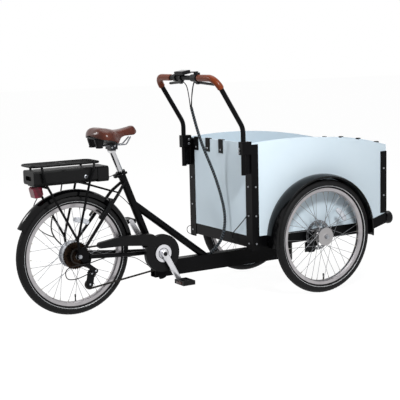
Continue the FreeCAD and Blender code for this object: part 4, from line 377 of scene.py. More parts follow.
# %% Finishes on the CAD solids
WEARS = {
    "black powder coat on steel": (
        "seat_tube", "main_beam", "down_strut", "rear_stays", "cart_chassis", "corner_posts", "handlebar",
        "rack_deck", "rack_struts", "seat_clamp", "seat_lever",
    ),
    "pale blue acrylic paint on plywood": ("rear_panel", "front_panel", "side_panels", "box_floor"),
    "vulcanised tyre rubber": ("rear_tyre", "front_tyre_left", "front_tyre_right"),
    "polished black ABS": ("rear_mudguard", "front_mudguards", "headlamps"),
    "eroded black ABS": (
        "chain_case", "battery", "battery_dock", "bar_controls", "shift_lever", "pedal_left", "pedal_right",
        "guide_pulley", "tension_pulley", "saddle", "grips",
    ),
    "black PVC sheath": ("cable_bundle", "rear_cables"),
    "brushed aluminium": ("rear_rim", "front_rim_left", "front_rim_right"),
    "polished forged aluminium": ("crank_arms",),
    "stainless spokes with a blasted motor shell": ("hub_motor",),
    "stainless spokes with a turned hub": ("front_hub_left", "front_hub_right"),
    "chromed steel": ("crank_spindle",),
    "chromed post with a cast jaw": ("seat_post",),
    "painted axles with zinc nuts": ("stub_axles",),
    "zinc-plated steel": ("rear_axle", "head_bearings", "kingpin"),
    "oiled bronze-brown steel": ("cassette", "chainring"),
    "oiled chain steel": ("chain",),
    "black anodised aluminium": (
        "derailleur", "brake_arm_left", "brake_arm_right", "brake_calipers", "brake_lever_left",
        "brake_lever_right",
    ),
    "zinc bolts and black hooks": ("box_fittings",),
    "black rubber springs and chromed rails": ("saddle_frame",),
    "red acrylic lens": ("tail_light",),
    "clear polycarbonate lens": ("lamp_lenses",),
}
for name, wearers in WEARS.items():
    for wearer in wearers:
        nodes[wearer].data.materials.clear()
        nodes[wearer].data.materials.append(finishes[name])
bare = set(nodes) - {wearer for wearers in WEARS.values() for wearer in wearers}
print("finishes", len(finishes), "solids without one", sorted(bare))

# %% [markdown]
# ## Surfaces from formulas
# A new piece is a grid of points worked out as one array: one direction runs along the piece, the other
# round it. Modelling by hand would do too, but a formula keeps true sizes and is quick to change. The
# helper below turns such grids into a mesh, closes the ends and makes the faces point outwards. Several
# equal grids, such as 36 nipples, can share one mesh.

# %% Surface helpers


def surface(name, points, wrap_along=False, sharp=40.0):
    """Quads over points[..., along, round, xyz].

    The round direction always closes on itself. wrap_along joins the last ring to the first; without it,
    one face closes each end ring. Edges that turn by more than sharp degrees stay sharp.
    Volume is the sum of each triangle's triple product over 6; if it is negative the faces are turned.
    """
    rings, sides = points.shape[-3:-1]
    grids = points.reshape(-1, rings * sides, 3)
    vertices = grids.reshape(-1, 3)
    index = np.arange(rings * sides).reshape(rings, sides)
    rows = np.vstack([index, index[:1]]) if wrap_along else index
    rows = np.hstack([rows, rows[:, :1]])
    quads = np.stack([rows[:-1, :-1], rows[1:, :-1], rows[1:, 1:], rows[:-1, 1:]], axis=-1).reshape(-1, 4)
    offsets = (np.arange(len(grids)) * rings * sides)[:, None, None]
    faces = (quads[None] + offsets).reshape(-1, 4).tolist()
    if not wrap_along:
        ends = np.stack([index[0], index[-1, ::-1]])
        faces += (ends[None] + offsets).reshape(-1, sides).tolist()
    mesh = bpy.data.meshes.new(name)
    mesh.from_pydata(vertices.tolist(), [], faces)
    mesh.calc_loop_triangles()
    corner = np.empty(len(mesh.loop_triangles) * 3, np.int32)
    mesh.loop_triangles.foreach_get("vertices", corner)
    a, b, c = vertices[corner.reshape(-1, 3)].transpose(1, 0, 2)
    if (a * np.cross(b, c)).sum() < 0:
        mesh.flip_normals()
    mesh.polygons.foreach_set("use_smooth", np.ones(len(mesh.polygons), bool))
    mesh.set_sharp_from_angle(angle=math.radians(sharp))
    return mesh


def add_piece(name, points, finish_name, body, slot, *replaced, **shape):
    """Surface at the origin that wears a finish, rides a body and may stand for CAD nodes."""
    mesh = surface(name, points, **shape)
    piece = bpy.data.objects.new(name, mesh)
    scene.collection.objects.link(piece)
    mesh.materials.append(finishes[finish_name])
    if body:
        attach(piece, body)
    if replaced:
        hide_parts(*replaced)
    print(name, len(mesh.polygons), "faces")
    return piece


def round_turn(count):
    """Equal angles round a full turn, with the last one, which is the first again, left out."""
    return np.linspace(0, 2 * math.pi, count, endpoint=False)


def crowded(count):
    """Shares from 0 to 1 that crowd at both ends: (1 - cos a) / 2 for a from 0 to half a turn."""
    return (1 - np.cos(np.linspace(0, math.pi, count))) / 2


def axes_along(line, steady):
    """Two unit directions square to a line: side = tangent x steady, other = side x tangent."""
    tangent = np.gradient(line, axis=-2)
    tangent /= np.linalg.norm(tangent, axis=-1, keepdims=True)
    side = np.cross(tangent, steady)
    side /= np.linalg.norm(side, axis=-1, keepdims=True)
    return side, np.cross(side, tangent)


def tube(line, radius, sides, steady):
    """Rings round a line: centre + radius (cos a * side + sin a * other). radius may vary on the grid."""
    side, other = axes_along(line, steady)
    angle = round_turn(sides)[:, None]
    around = np.cos(angle) * side[..., None, :] + np.sin(angle) * other[..., None, :]
    return line[..., None, :] + np.asarray(radius)[..., None] * around


# %% [markdown]
# ## Cables
# A cable hangs in one smooth curve. Its route is a short list of places, which a NURBS curve of order 3
# rounds off. A bevel on the curve could give it a body, but the line that Blender gives for the curve is
# wanted too, to measure its length, so that line carries the tube.

# %% Cable helpers
CABLE_STEP = 0.004
CABLE_SIDES = 14
LEAST_POINTS = 8
ROUTE_ORDER, ROUTE_STEPS = 3, 16


def smooth_route(name, route, spacing):
    """Evenly spaced points, in metres, on the NURBS curve whose control points are the route's."""
    control = np.column_stack([place(route), np.ones(len(route))])
    curve = bpy.data.curves.new(name, "CURVE")
    curve.dimensions = "3D"
    spline = curve.splines.new("NURBS")
    spline.points.add(len(control) - 1)
    spline.points.foreach_set("co", control.ravel())
    spline.order_u = ROUTE_ORDER
    spline.use_endpoint_u = True
    spline.resolution_u = ROUTE_STEPS
    holder = bpy.data.objects.new(name, curve)
    drawn = bpy.data.meshes.new_from_object(holder)
    line = np.empty(len(drawn.vertices) * 3)
    drawn.vertices.foreach_get("co", line)
    line = line.reshape(-1, 3)
    bpy.data.objects.remove(holder)
    bpy.data.meshes.remove(drawn)
    step = np.linalg.norm(np.diff(line, axis=0), axis=1)
    along = np.concatenate([[0.0], np.cumsum(step)])
    want = np.linspace(0, along[-1], max(int(along[-1] / spacing), LEAST_POINTS))
    return np.stack([np.interp(want, along, line[:, k]) for k in range(3)], axis=1), along[-1]


def add_cable(name, route, radius, steady, body):
    """Smooth tube along a route, in the black PVC sheath finish, that rides a body."""
    line, length = smooth_route(name, route, CABLE_STEP)
    rings = tube(line, radius / MM, CABLE_SIDES, steady)
    piece = add_piece(name, rings, "black PVC sheath", body, "cable_cover")
    print(name, "length", round(MM * length), "mm")
    return piece


# %% Cables on the handlebar
# Two brake cables and the shift cable leave the controls and meet at the top of the wrapped bundle.
BAR_CABLES = {
    "right_brake_cable": [
        (694.98, -71, 1143.72), (702.98, -39, 1137.72), (706, -16, 1077.72), (704, -3, 1009),
    ],
    "left_brake_cable": [
        (694.98, 71, 1143.72), (702.98, 41, 1135.72), (706, 18, 1075.72), (704, 3, 1009),
    ],
    "shifter_cable": [
        (688.4, -105.6, 1184), (698.4, -83.6, 1183), (706, -48, 1161), (710, -16, 1113), (709, -4, 1063),
        (711, 0, 1010),
    ],
}
for name, route in BAR_CABLES.items():
    add_cable(name, route, 2.5, FORWARD, "cart")

# %% Short cables on the frame and the cart
# A lead goes from the battery's dock to the seat tube. A brake cable drops from the box's right corner to
# the chassis, and a thin wire loops at its left corner. One cable dips from beside the chain stay to the
# chain case, and one runs from beside the seat stay to the seat tube. Each has its radius in mm, a steady
# direction, a body and a route.
SHORT_CABLES = {
    "controller_lead": (2.0, LEFT, "frame", [
        (181.5, -36, 676), (202, -37, 688), (234, -31, 690), (260, -22, 678), (277, -12, 662),
    ]),
    "corner_brake_cable": (2.5, FORWARD, "cart", [
        (869, -280, 455), (862, -262, 432), (858, -206, 383), (857, -142, 336), (858, -140, 310),
        (863, -158, 291), (876, -182, 291),
    ]),
    "left_corner_loop": (1.8, FORWARD, "cart", [
        (871, 284, 322), (863, 306, 321), (858, 326, 309), (857, 333, 290), (860, 320, 273), (871, 294, 268),
    ]),
    "stay_cable": (1.6, LEFT, "frame", [
        (272, -62, 270), (298, -62, 266), (328, -62, 253), (359, -62, 231), (393, -62, 206), (422, -62, 186),
    ]),
    "brake_wire": (2.0, LEFT, "frame", [
        (252, -26, 586), (272, -27, 570), (294, -24, 550), (316, -20, 526), (340, -13, 505),
    ]),
}
for name, (radius, steady, body, route) in SHORT_CABLES.items():
    add_cable(name, route, radius, steady, body)

# %% Leads at the rear
# The motor lead and battery lead hang on the left, and the shift cable loops behind the derailleur.
motor_route = [
    (-30, 36, 666.9), (-36, 52, 600), (-54, 62, 545), (-82, 64, 490),
    (-90, 63, 432), (-70, 63, 386), (-36, 63, 350), (-8, 63, 316),
]
battery_route = [
    (-130, 34, 666.9), (-150, 56, 610), (-178, 66, 560), (-186, 66, 500),
    (-160, 66, 446), (-112, 66, 408), (-72, 65, 392),
]
shift_route = [
    (140, -73, 283), (100, -81, 279), (64, -91, 274), (26, -95, 268), (-12, -92, 267), (-44, -87, 264),
    (-86, -83, 250), (-80, -80, 200), (-30, -80, 195), (4, -80, 203), (38, -80, 214), (62.8, -80, 221),
]
motor_lead = add_cable("motor_lead", motor_route, 3.5, LEFT, "frame")
add_cable("battery_lead", battery_route, 2.5, LEFT, "frame")
add_cable("shift_cable", shift_route, 2.5, LEFT, "frame")
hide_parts("rear_cables")

# %% [markdown]
# ## The wrapped bundle
# From the handlebar down to the main beam the cables run together in a spiral wrap. The wrap is a plastic
# band wound round them. A screw modifier could wind a band, but here it is one tube whose radius drops in a
# groove that climbs round it.

# %% Spiral-wrapped bundle
# The gap is 1 in the middle between two turns, and fades to 0 at 2.2 x 0.16 of the pitch from there.
BUNDLE_RADIUS, BUNDLE_SIDES, BUNDLE_STEP = 8.5, 20, 0.0016
WRAP_PITCH, WRAP_DEPTH = 14.0, 1.3
GAP_EDGE, GAP_FADE = 2.2, 0.16
bundle_route = [
    (708, 0, 1008), (735, 0, 905), (775, -4, 785), (822, -28, 655), (846, -62, 525),
    (853, -84, 425), (846, -80, 335), (829, -50, 262), (800, -6, 214),
]
bundle_line, bundle_length = smooth_route("bundle", bundle_route, BUNDLE_STEP)
run = np.linspace(0, MM * bundle_length, len(bundle_line))[:, None]
turn_share = np.linspace(0, 1, BUNDLE_SIDES, endpoint=False)[None, :]
phase = (run / WRAP_PITCH - turn_share) % 1.0
gap = np.clip(GAP_EDGE - np.abs(phase - 0.5) / GAP_FADE, 0, 1)
wrap_radius = (BUNDLE_RADIUS - WRAP_DEPTH * gap) / MM
wrap = tube(bundle_line, wrap_radius, BUNDLE_SIDES, LEFT)
bundle = add_piece("cable_bundle_wrap", wrap, "smoky polyethylene wrap on black sheaths", None, "cable_cover",
                   "cable_bundle")
gap_values = bundle.data.attributes.new("gap", "FLOAT", "POINT").data
gap_values.foreach_set("value", gap.astype(np.float32).ravel())
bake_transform(bundle)
print("bundle length", round(MM * bundle_length), "mm")

# %% [markdown]
# ## Tyres
# A city tyre has a round crown with shallow slanted grooves, smooth bulging sides and a thin reflective
# band near the rim. An array of tread blocks could be bent round the wheel, but here the section is drawn
# once and carried round the axle, and the grooves are a formula of the turn and the place on the crown.

# %% Tyre surface
TYRE_RADIUS, TYRE_HALF, TYRE_WALL = 305.0, 26.0, 5.0
CROWN = TYRE_RADIUS - TYRE_HALF
RIM_EDGE, BEAD_HALF, BEAD = 259.7, 12.9, 253.5
TREAD_PITCHES, PITCH_STEPS = 84, 8
GROOVE_DEPTH, GROOVE_SLANT = 1.6, 48.0


def sidewall(share):
    """Radius and half width from the rim's edge (0) to the crown (1), with a bulge of 4 t (1 - t)."""
    bulge = 0.08 * math.hypot(CROWN - RIM_EDGE, TYRE_HALF - BEAD_HALF)
    width = BEAD_HALF + (TYRE_HALF - BEAD_HALF) * share + bulge * 4 * share * (1 - share)
    return RIM_EDGE + (CROWN - RIM_EDGE) * share, width


def round_axle(radius, across, turns, wheel_x, wheel_y, axle_z=AXLE_Z):
    """Points of a section (radius, across) at turns of the axle: x = r cos, z = axle + r sin."""
    x = wheel_x + radius * np.cos(turns)
    z = axle_z + radius * np.sin(turns)
    return grid(x, wheel_y + across, z)


def tyre_points(wheel_x, wheel_y):
    """Rings of the tyre's section; the crown drops by 1.6 mm in slanted grooves and two ring grooves.

    A slanted groove is where the turn in pitches plus the lean over 48 degrees is half way between whole
    numbers, at a lean of 14 to 58 degrees. The ring grooves are at a lean of 10 degrees.
    """
    lean = np.radians(np.linspace(-90, 90, 45))
    crown_r, crown_y = CROWN + TYRE_HALF * np.cos(lean), TYRE_HALF * np.sin(lean)
    wall_r, wall_y = sidewall(np.linspace(0, 0.92, 8))
    inner = np.radians(np.linspace(80, -80, 9))
    inner_half = TYRE_HALF - TYRE_WALL
    inner_r, inner_y = CROWN + inner_half * np.cos(inner), inner_half * np.sin(inner)
    radius = np.concatenate([[BEAD], wall_r, crown_r, wall_r[::-1], [BEAD, BEAD], inner_r, [BEAD]])
    across = np.concatenate([
        [-BEAD_HALF], -wall_y, crown_y, wall_y[::-1], [BEAD_HALF, BEAD_HALF - TYRE_WALL], inner_y,
        [TYRE_WALL - BEAD_HALF],
    ])
    turns = round_turn(TREAD_PITCHES * PITCH_STEPS)[:, None]
    degrees = np.abs(np.degrees(lean))
    phase = (turns / (2 * math.pi) * TREAD_PITCHES + degrees / GROOVE_SLANT) % 1.0
    slanted = np.clip(1.3 - np.abs(phase - 0.5) / 0.13, 0, 1) * ((degrees > 14) & (degrees < 58))
    ring = np.clip(1.5 - np.abs(degrees - 10) / 2.5, 0, 1)
    drop = np.zeros((len(turns), len(radius)))
    crown_start = 1 + len(wall_r)
    drop[:, crown_start:crown_start + len(lean)] = GROOVE_DEPTH * np.maximum(slanted, ring)
    return round_axle(radius - drop, across, turns, wheel_x, wheel_y)


for wheel, (x, y, body) in WHEELS.items():
    node = "rear_tyre" if wheel == "rear" else wheel.replace("front", "front_tyre")
    add_piece(wheel + "_tread_tyre", tyre_points(x, y), "vulcanised tyre rubber", body, "tyre_rubber", node,
              wrap_along=True)

# %% Reflective bands on the sidewalls
# A flat section, 0.4 mm proud of the sidewall and 0.6 mm deep in it, is carried round on both sides.
BAND_SHARE, BAND_HALF, BAND_STEPS = 0.55, 0.06, 180
band_turns = round_turn(BAND_STEPS)[:, None]
band_r, band_y = sidewall(BAND_SHARE + BAND_HALF * np.array([-1, 1, 1, -1]))
proud = np.array([0.4, 0.4, -0.6, -0.6])
both_sides = np.array([-1.0, 1.0])[:, None, None]
for wheel, (x, y, body) in WHEELS.items():
    band = round_axle(band_r, both_sides * (band_y + proud), band_turns, x, y)
    add_piece(wheel + "_reflective_band", band, "grey retro-reflective band", body, "tyre_rubber",
              wrap_along=True)

# %% [markdown]
# ## Spoke nipples, valves and reflectors
# Each spoke ends in a plated nipple in the rim's bed. One nipple could be copied round with an array, but
# each points along its own spoke, so all are worked out at once from the lacing of the CAD model: spokes
# alternate between the flanges and lean forward and back in turn.

# %% Nipples
# Each wheel has its flanges' places across and radii, and the angle by which a spoke leans at the hub.
SPOKES = 36
RIM_BED, RIM_OFFSET, FLANGE_OFFSET = 238.0, 3.5, 2.0
LACING = {
    "rear": ((-22.0, 69.0), (26.0, 69.0), 30.0),
    "front_left": ((-24.0, 30.0), (24.0, 48.0), 55.0),
    "front_right": ((24.0, 30.0), (-24.0, 48.0), 55.0),
}
NIPPLE_REACH = np.array([-0.8, 7.0, 8.0, 12.0, 12.4])
NIPPLE_RADIUS = np.array([2.2, 2.2, 1.75, 1.75, 1.3])


def spoke_ends(first_flange, second_flange, crossing):
    """Hub and rim ends of all spokes about the axle: (r cos a, across, r sin a) at both ends.

    Spokes of the two flanges take turns at the rim, and the hub's angle is the rim's plus or minus the
    crossing, in turn.
    """
    k = np.tile(np.arange(SPOKES // 2), 2)
    second = np.repeat([0, 1], SPOKES // 2)
    mirror = -1.0 if first_flange[0] > 0 else 1.0
    lean = np.where(k % 2, 1.0, -1.0)
    flange_y = np.where(second, second_flange[0], first_flange[0]) + mirror * lean * FLANGE_OFFSET
    flange_r = np.where(second, second_flange[1], first_flange[1])
    at_rim = 2 * math.pi * (2 * k + second) / SPOKES
    at_hub = at_rim + lean * math.radians(crossing)
    hub = np.stack([flange_r * np.cos(at_hub), flange_y, flange_r * np.sin(at_hub)], axis=-1)
    rim_y = mirror * np.where(second, RIM_OFFSET, -RIM_OFFSET)
    rim = np.stack([RIM_BED * np.cos(at_rim), rim_y, RIM_BED * np.sin(at_rim)], axis=-1)
    return hub, rim


for wheel, (x, y, body) in WHEELS.items():
    hub, rim = spoke_ends(*LACING[wheel])
    inward = (hub - rim) / np.linalg.norm(hub - rim, axis=1, keepdims=True)
    line = rim[:, None, :] + inward[:, None, :] * NIPPLE_REACH[None, :, None]
    rings = tube(line, NIPPLE_RADIUS[None, :, None], 8, LEFT) + np.array([x, y, AXLE_Z])
    add_piece(wheel + "_nipples", place(rings), "nickel-plated brass", body, "rim_alloy")

# %% Valves
# A rubber-covered stem stands inward from the rim's bed at the bottom of each wheel, with a wider cap.
VALVE_REACH = np.array([-1.0, 2.0, 3.0, 20.0, 21.0, 22.0, 33.0, 34.5])
VALVE_RADIUS = np.array([4.5, 4.5, 3.2, 3.0, 3.0, 4.2, 4.2, 3.2])
valve_line = np.stack([0 * VALVE_REACH, 0 * VALVE_REACH, VALVE_REACH - RIM_BED], axis=-1)
for wheel, (x, y, body) in WHEELS.items():
    rings = tube(valve_line, VALVE_RADIUS[:, None], 16, LEFT) + np.array([x, y, AXLE_Z])
    add_piece(wheel + "_valve", place(rings), "vulcanised tyre rubber", body, "tyre_rubber")

# %% Spoke reflectors
# A bent bar of clear plastic sits between the spokes. Its section is a rounded rectangle, carried along
# an arc about the axle. Each has its radius, its angle from the front and its place across the wheel.


def rounded(half_width, half_height, corner, steps=5):
    """Closed rounded rectangle: quarter circles of a corner radius round four inner corners."""
    quarter = np.linspace(0, math.pi / 2, steps)
    angle = (np.arange(4)[:, None] * math.pi / 2 + quarter[None, :]).ravel()
    sign_x = np.repeat([1, -1, -1, 1], steps)
    sign_y = np.repeat([1, 1, -1, -1], steps)
    return np.stack([
        sign_x * (half_width - corner) + corner * np.cos(angle),
        sign_y * (half_height - corner) + corner * np.sin(angle),
    ], axis=-1)


REFLECTORS = {
    "rear": (176.0, 74.0, -3.0), "front_right": (164.0, 41.0, -2.5), "front_left": (164.0, 139.0, 2.5),
}
REFLECTOR_HALF, REFLECTOR_STEPS = 46.0, 15
along = np.linspace(-1, 1, REFLECTOR_STEPS)[:, None]
ends = np.sqrt(np.clip(1 - along ** 8, 0.05, 1))
section = rounded(13.0, 6.5, 3.0)
for wheel, (radius, middle, across) in REFLECTORS.items():
    x, y, body = WHEELS[wheel]
    spread = np.radians(middle) + REFLECTOR_HALF * along / radius
    bar = round_axle(radius + section[:, 0] * ends, across + section[:, 1] * ends, spread, x, y)
    add_piece(wheel + "_reflector", bar, "clear acrylic reflector", body, "clear_lens")

# %% [markdown]
# ## Saddle
# The saddle is foam under a stretched cover: a wide rear with two soft cheeks, a dip, and a raised narrow
# nose. Its hem is high at the tail, drops to a pointed flap on each side and rises steeply under the nose.
# It could be sculpted, or a cloth drawn over a form, but its cover is glued tight to the foam, so half
# width, crown and hem are smooth curves through a few stations from tail to nose. A black base shell
# closes it from below.

# %% Saddle cover
SADDLE_STATIONS = np.array([112, 134, 178, 214, 238, 262, 290, 322, 356, 376], float)
SADDLE_HALF = np.array([64, 93, 106, 92, 72, 51, 36, 29, 24, 12], float)
SADDLE_TOP = np.array([912, 928, 931, 924, 919, 918, 922, 928, 931, 914], float)
SADDLE_HEM = np.array([885, 878, 871, 862, 851, 874, 885, 887, 889, 898], float)
HOLLOW, CHANNEL_DEPTH, CHANNEL_WIDTH = 7.0, 6.0, 22.0


def through(where, stations, values):
    """Smooth curve through values: on each span a cubic whose end slopes are the neighbours' mean slope."""
    slope = np.gradient(values, stations)
    k = np.clip(np.searchsorted(stations, where) - 1, 0, len(stations) - 2)
    span = stations[k + 1] - stations[k]
    t = (where - stations[k]) / span
    return (values[k] * (1 + 2 * t) * (1 - t) ** 2 + slope[k] * span * t * (1 - t) ** 2
            + values[k + 1] * t ** 2 * (3 - 2 * t) + slope[k + 1] * span * t ** 2 * (t - 1))


def saddle_stations(rings):
    """Stations crowded at both ends, with half width, crown and hem there; both ends close in a round."""
    share = crowded(rings)
    x = SADDLE_STATIONS[0] + share * (SADDLE_STATIONS[-1] - SADDLE_STATIONS[0])
    close = np.sqrt(np.clip(1 - (2 * share - 1) ** 14, 0.002, 1))
    curves = [through(x, SADDLE_STATIONS, values) for values in (SADDLE_HALF, SADDLE_TOP, SADDLE_HEM)]
    return share, x, close, *curves


def squarer(wave, power):
    """A wave between -1 and 1 with its sign kept and its size raised to a power below 1."""
    return np.sign(wave) * np.abs(wave) ** power


def saddle_points(rings=110, sides=80):
    """Sections y = half |cos|^0.62, z = hem + rise |sin|^0.8 above, and a hollow of 7 mm below.

    The crown drops by 6 mm times exp(-(y / 22)^2) between the cheeks, less towards the nose.
    """
    share, x, close, half, top, hem = saddle_stations(rings)
    angle = round_turn(sides)[None, :]
    y = (half * close)[:, None] * squarer(np.cos(angle), 0.62)
    above = np.clip(np.sin(angle), 0, 1) ** 0.8
    below = np.clip(-np.sin(angle), 0, 1) ** 0.5
    middle = hem + 0.35 * (top - hem) * (1 - close)
    z = middle[:, None] + ((top - middle) * close)[:, None] * above + (HOLLOW * close)[:, None] * below
    fade = (np.sin(math.pi * share) * (1 - 0.7 * share))[:, None]
    channel = CHANNEL_DEPTH * np.exp(-(y / CHANNEL_WIDTH) ** 2) * above * fade
    return grid(x[:, None], y, z - channel)


saddle = add_piece("saddle_cover", saddle_points(), "brown embossed vinyl", "seat", "saddle_cover", "saddle",
                   sharp=80.0)
smoother = saddle.modifiers.new("smooth cover", "SUBSURF")
smoother.levels = smoother.render_levels = 1

# %% Saddle base
BASE_SHARE, BASE_LIFT, BASE_HALF = 0.94, 2.0, 4.5
KEEL_DEPTH, KEEL_WIDTH, KEEL_X, KEEL_LENGTH = 20.0, 50.0, 190.0, 55.0


def base_points(rings=60, sides=48):
    """A shell under the hem: half width 0.94 of the cover's, 9 mm thick, with a keel under the seat bones.

    The keel adds 20 mm times exp(-(y / 50)^2) times exp(-((x - 190) / 55)^2) to the underside.
    """
    share, x, close, half, top, hem = saddle_stations(rings)
    angle = round_turn(sides)[None, :]
    y = (BASE_SHARE * half * close)[:, None] * squarer(np.cos(angle), 0.5)
    level = squarer(np.sin(angle), 0.6)
    bulge = np.exp(-(y / KEEL_WIDTH) ** 2) * np.exp(-((x[:, None] - KEEL_X) / KEEL_LENGTH) ** 2)
    keel = KEEL_DEPTH * bulge * np.clip(-level, 0, 1)
    z = hem[:, None] + BASE_LIFT + BASE_HALF * close[:, None] * level - keel
    return grid(x[:, None], y, z)


add_piece("saddle_base", base_points(), "eroded black ABS", "seat", "saddle_cover", sharp=60.0)

# %% [markdown]
# ## Grips
# The grips are leather sleeves that follow the bar round its upper corners. A bent cylinder could do, but
# its bend has to match the bar's, so a sleeve is a tube along a straight, a quarter circle and a short
# straight down the leg, a little fuller in the palm, with a sewn seam along it.

# %% Grips
BAR_TOP = (672.0, 300.0, 1163.0)
BAR_BEND = 60.0
LEG = np.array([161.0, 0.0, -258.0]) / math.hypot(161.0, 258.0)
GRIP_SIDES = 40
GRIP_INNER, GRIP_WALL, GRIP_PALM, GRIP_EDGE = 15.5, 1.6, 0.5, 3.0
SEAM_DEPTH, SEAM_AT, SEAM_WIDTH = 0.7, 270, 7.0


def grip_line(side, steps=90, straight=100.0, down=2.0):
    """Centre line: straight along y, then a quarter circle towards the leg, then down the leg."""
    quarter = BAR_BEND * math.pi / 2
    s = np.linspace(0, straight + quarter + down, steps)
    angle = np.clip((s - straight) / BAR_BEND, 0, math.pi / 2)
    out = np.minimum(s, straight) + BAR_BEND * np.sin(angle)
    low = BAR_BEND * (1 - np.cos(angle)) + np.maximum(s - straight - quarter, 0)
    start = BAR_TOP[1] - BAR_BEND - straight
    line = np.array([BAR_TOP[0], 0, BAR_TOP[2]]) + low[:, None] * LEG
    line[:, 1] = side * (start + out)
    return line, s


grip_degrees = np.degrees(round_turn(GRIP_SIDES))[None, :]
seam = SEAM_DEPTH * np.exp(-((grip_degrees - SEAM_AT) / SEAM_WIDTH) ** 2)
for side, name in ((1, "grip_left"), (-1, "grip_right")):
    line, s = grip_line(side)
    fuller = GRIP_PALM * np.sin(math.pi * s / s[-1])[:, None]
    edge = np.clip(np.minimum(s, s[-1] - s) / GRIP_EDGE, 0, 1)[:, None]
    radius = GRIP_INNER + (GRIP_WALL + fuller) * np.sqrt(edge) - seam
    sleeve = place(tube(line, radius, GRIP_SIDES, np.cross(LEG, LEFT)))
    add_piece(name, sleeve, "tan stitched leather", "cart", "grip_cover", "grips")

# %% [markdown]
# ## Bolts, caps and small parts
# Turned parts catch the light where a CAD solid is plain: crank caps, screws, clamp nuts and the battery's
# lock. A cylinder with a bevel could stand for each, but a profile of height and radius, carried round its
# own axis, gives the rim and the recess too. The flat ones, a display glass, plates and pedal reflectors,
# are rounded rectangles carried through a few levels.

# %% Turned parts
# A profile is a list of (height, radius) in mm, and a look is a finish with the name of its slot.
CRANK_X, CRANK_Z = 466.0, 268.0
CRANK_FACE, CROWN_RISE = 108.0, 3.0
CROWN_TOP = CRANK_FACE + CROWN_RISE - 0.3
CAP = [(-1.0, 11.5), (1.2, 11.5), (2.4, 9.5), (2.6, 4.0), (1.6, 3.4), (1.5, 0.1)]
SCREW = [(-0.5, 5.0), (1.2, 5.0), (2.2, 3.6), (2.3, 1.8), (1.4, 1.6), (1.3, 0.1)]
LOCK = [(-0.5, 9.0), (1.4, 9.0), (2.0, 8.2), (2.0, 5.0), (0.9, 4.8), (0.8, 0.1)]
NUT = [(-0.3, 7.5), (5.2, 7.5), (6.0, 6.6), (6.1, 3.2), (5.0, 3.0), (4.9, 0.1)]
CUP = [(-0.5, 16.0), (1.0, 18.5), (5.0, 18.5), (6.0, 16.8), (12.0, 17.6), (30.0, 23.0), (44.0, 26.0)]
PLASTIC = ("eroded black ABS", "black_plastic")
ZINC = ("zinc-plated steel", "fitting_steel")
MOULDED = ("eroded black ABS", "saddle_cover")


def studs(name, places, axis, profile, look, body, sides=20):
    """Turned parts: rings of the profile (height, radius), in mm, about an axis at each place."""
    height, radius = np.array(profile, float).T
    line = np.asarray(places, float)[:, None, :] + np.asarray(axis, float) * height[:, None]
    steady = FORWARD if axis[0] == 0 else LEFT
    finish_name, slot = look
    add_piece(name, place(tube(line, radius[:, None], sides, steady)), finish_name, body, slot)


studs("crank_cap_right", [(CRANK_X, -CROWN_TOP, CRANK_Z)], RIGHT, CAP, PLASTIC, "crank")
studs("crank_cap_left", [(CRANK_X, CROWN_TOP, CRANK_Z)], LEFT, CAP, PLASTIC, "crank")
studs("hook_screws", [(871, y, 772) for y in (232, 112, -20)], BACKWARD, SCREW, ZINC, "cart")
studs("cage_bolts", [(70, -58, 209), (58, -58, 154), (78, -89, 226)], RIGHT, SCREW, ZINC, "frame")
studs("battery_lock", [(54, -66, 700)], RIGHT, LOCK, ZINC, "battery")
studs("left_clamp_nuts", [(855, 282, z) for z in (788, 812)], RIGHT, NUT, ZINC, "cart", 6)
studs("right_clamp_nuts", [(815, -291, z) for z in (780, 798)], BACKWARD, NUT, ZINC, "cart", 6)
studs("jaw_bolts", [(222, -29, 830), (238, -29, 838)], RIGHT, SCREW, ZINC, "seat")
studs("saddle_cups", [(146, y, 832) for y in (-40, 40)], UP, CUP, MOULDED, "seat", 28)

# %% Crowned faces of the cranks
# A forged crank is rounded across, so a long highlight runs down its face.
ARM_LENGTH, ARM_HALF, ARM_TAPER = 170.0, 17.0, 4.0
AXLE_END, PEDAL_END = 16.9, 12.9
CROWN_SINK, CROWN_FULL = 0.6, 12.0


def crown_points(turn, outward, rings=60, sides=28):
    """Sections along an arm: half width runs from 17 to 13 mm and closes in a half circle at both ends.

    Across a section x = half cos a, and the height is 3 sin a above the face and 0.6 sin a below it.
    """
    along = -AXLE_END + crowded(rings) * (AXLE_END + ARM_LENGTH + PEDAL_END)
    half = ARM_HALF - ARM_TAPER * np.clip(along / ARM_LENGTH, 0, 1)
    past = np.maximum(-along, 0) + np.maximum(along - ARM_LENGTH, 0)
    half = np.sqrt(np.maximum(half ** 2 - past ** 2, 0.3))[:, None]
    angle = round_turn(sides)[None, :]
    aside = half * np.cos(angle)
    height = np.where(np.sin(angle) > 0, CROWN_RISE, CROWN_SINK) * np.minimum(half / CROWN_FULL, 1.0)
    x = CRANK_X + along[:, None] * math.cos(turn) - aside * math.sin(turn)
    z = CRANK_Z + along[:, None] * math.sin(turn) + aside * math.cos(turn)
    return grid(x, outward * (CRANK_FACE + height * np.sin(angle)), z)


for name, degrees, outward in (("crank_crown_right", -61.0, -1.0), ("crank_crown_left", 119.0, 1.0)):
    crown = crown_points(math.radians(degrees), outward)
    add_piece(name, crown, "polished forged aluminium", "crank", "rim_alloy", sharp=70.0)

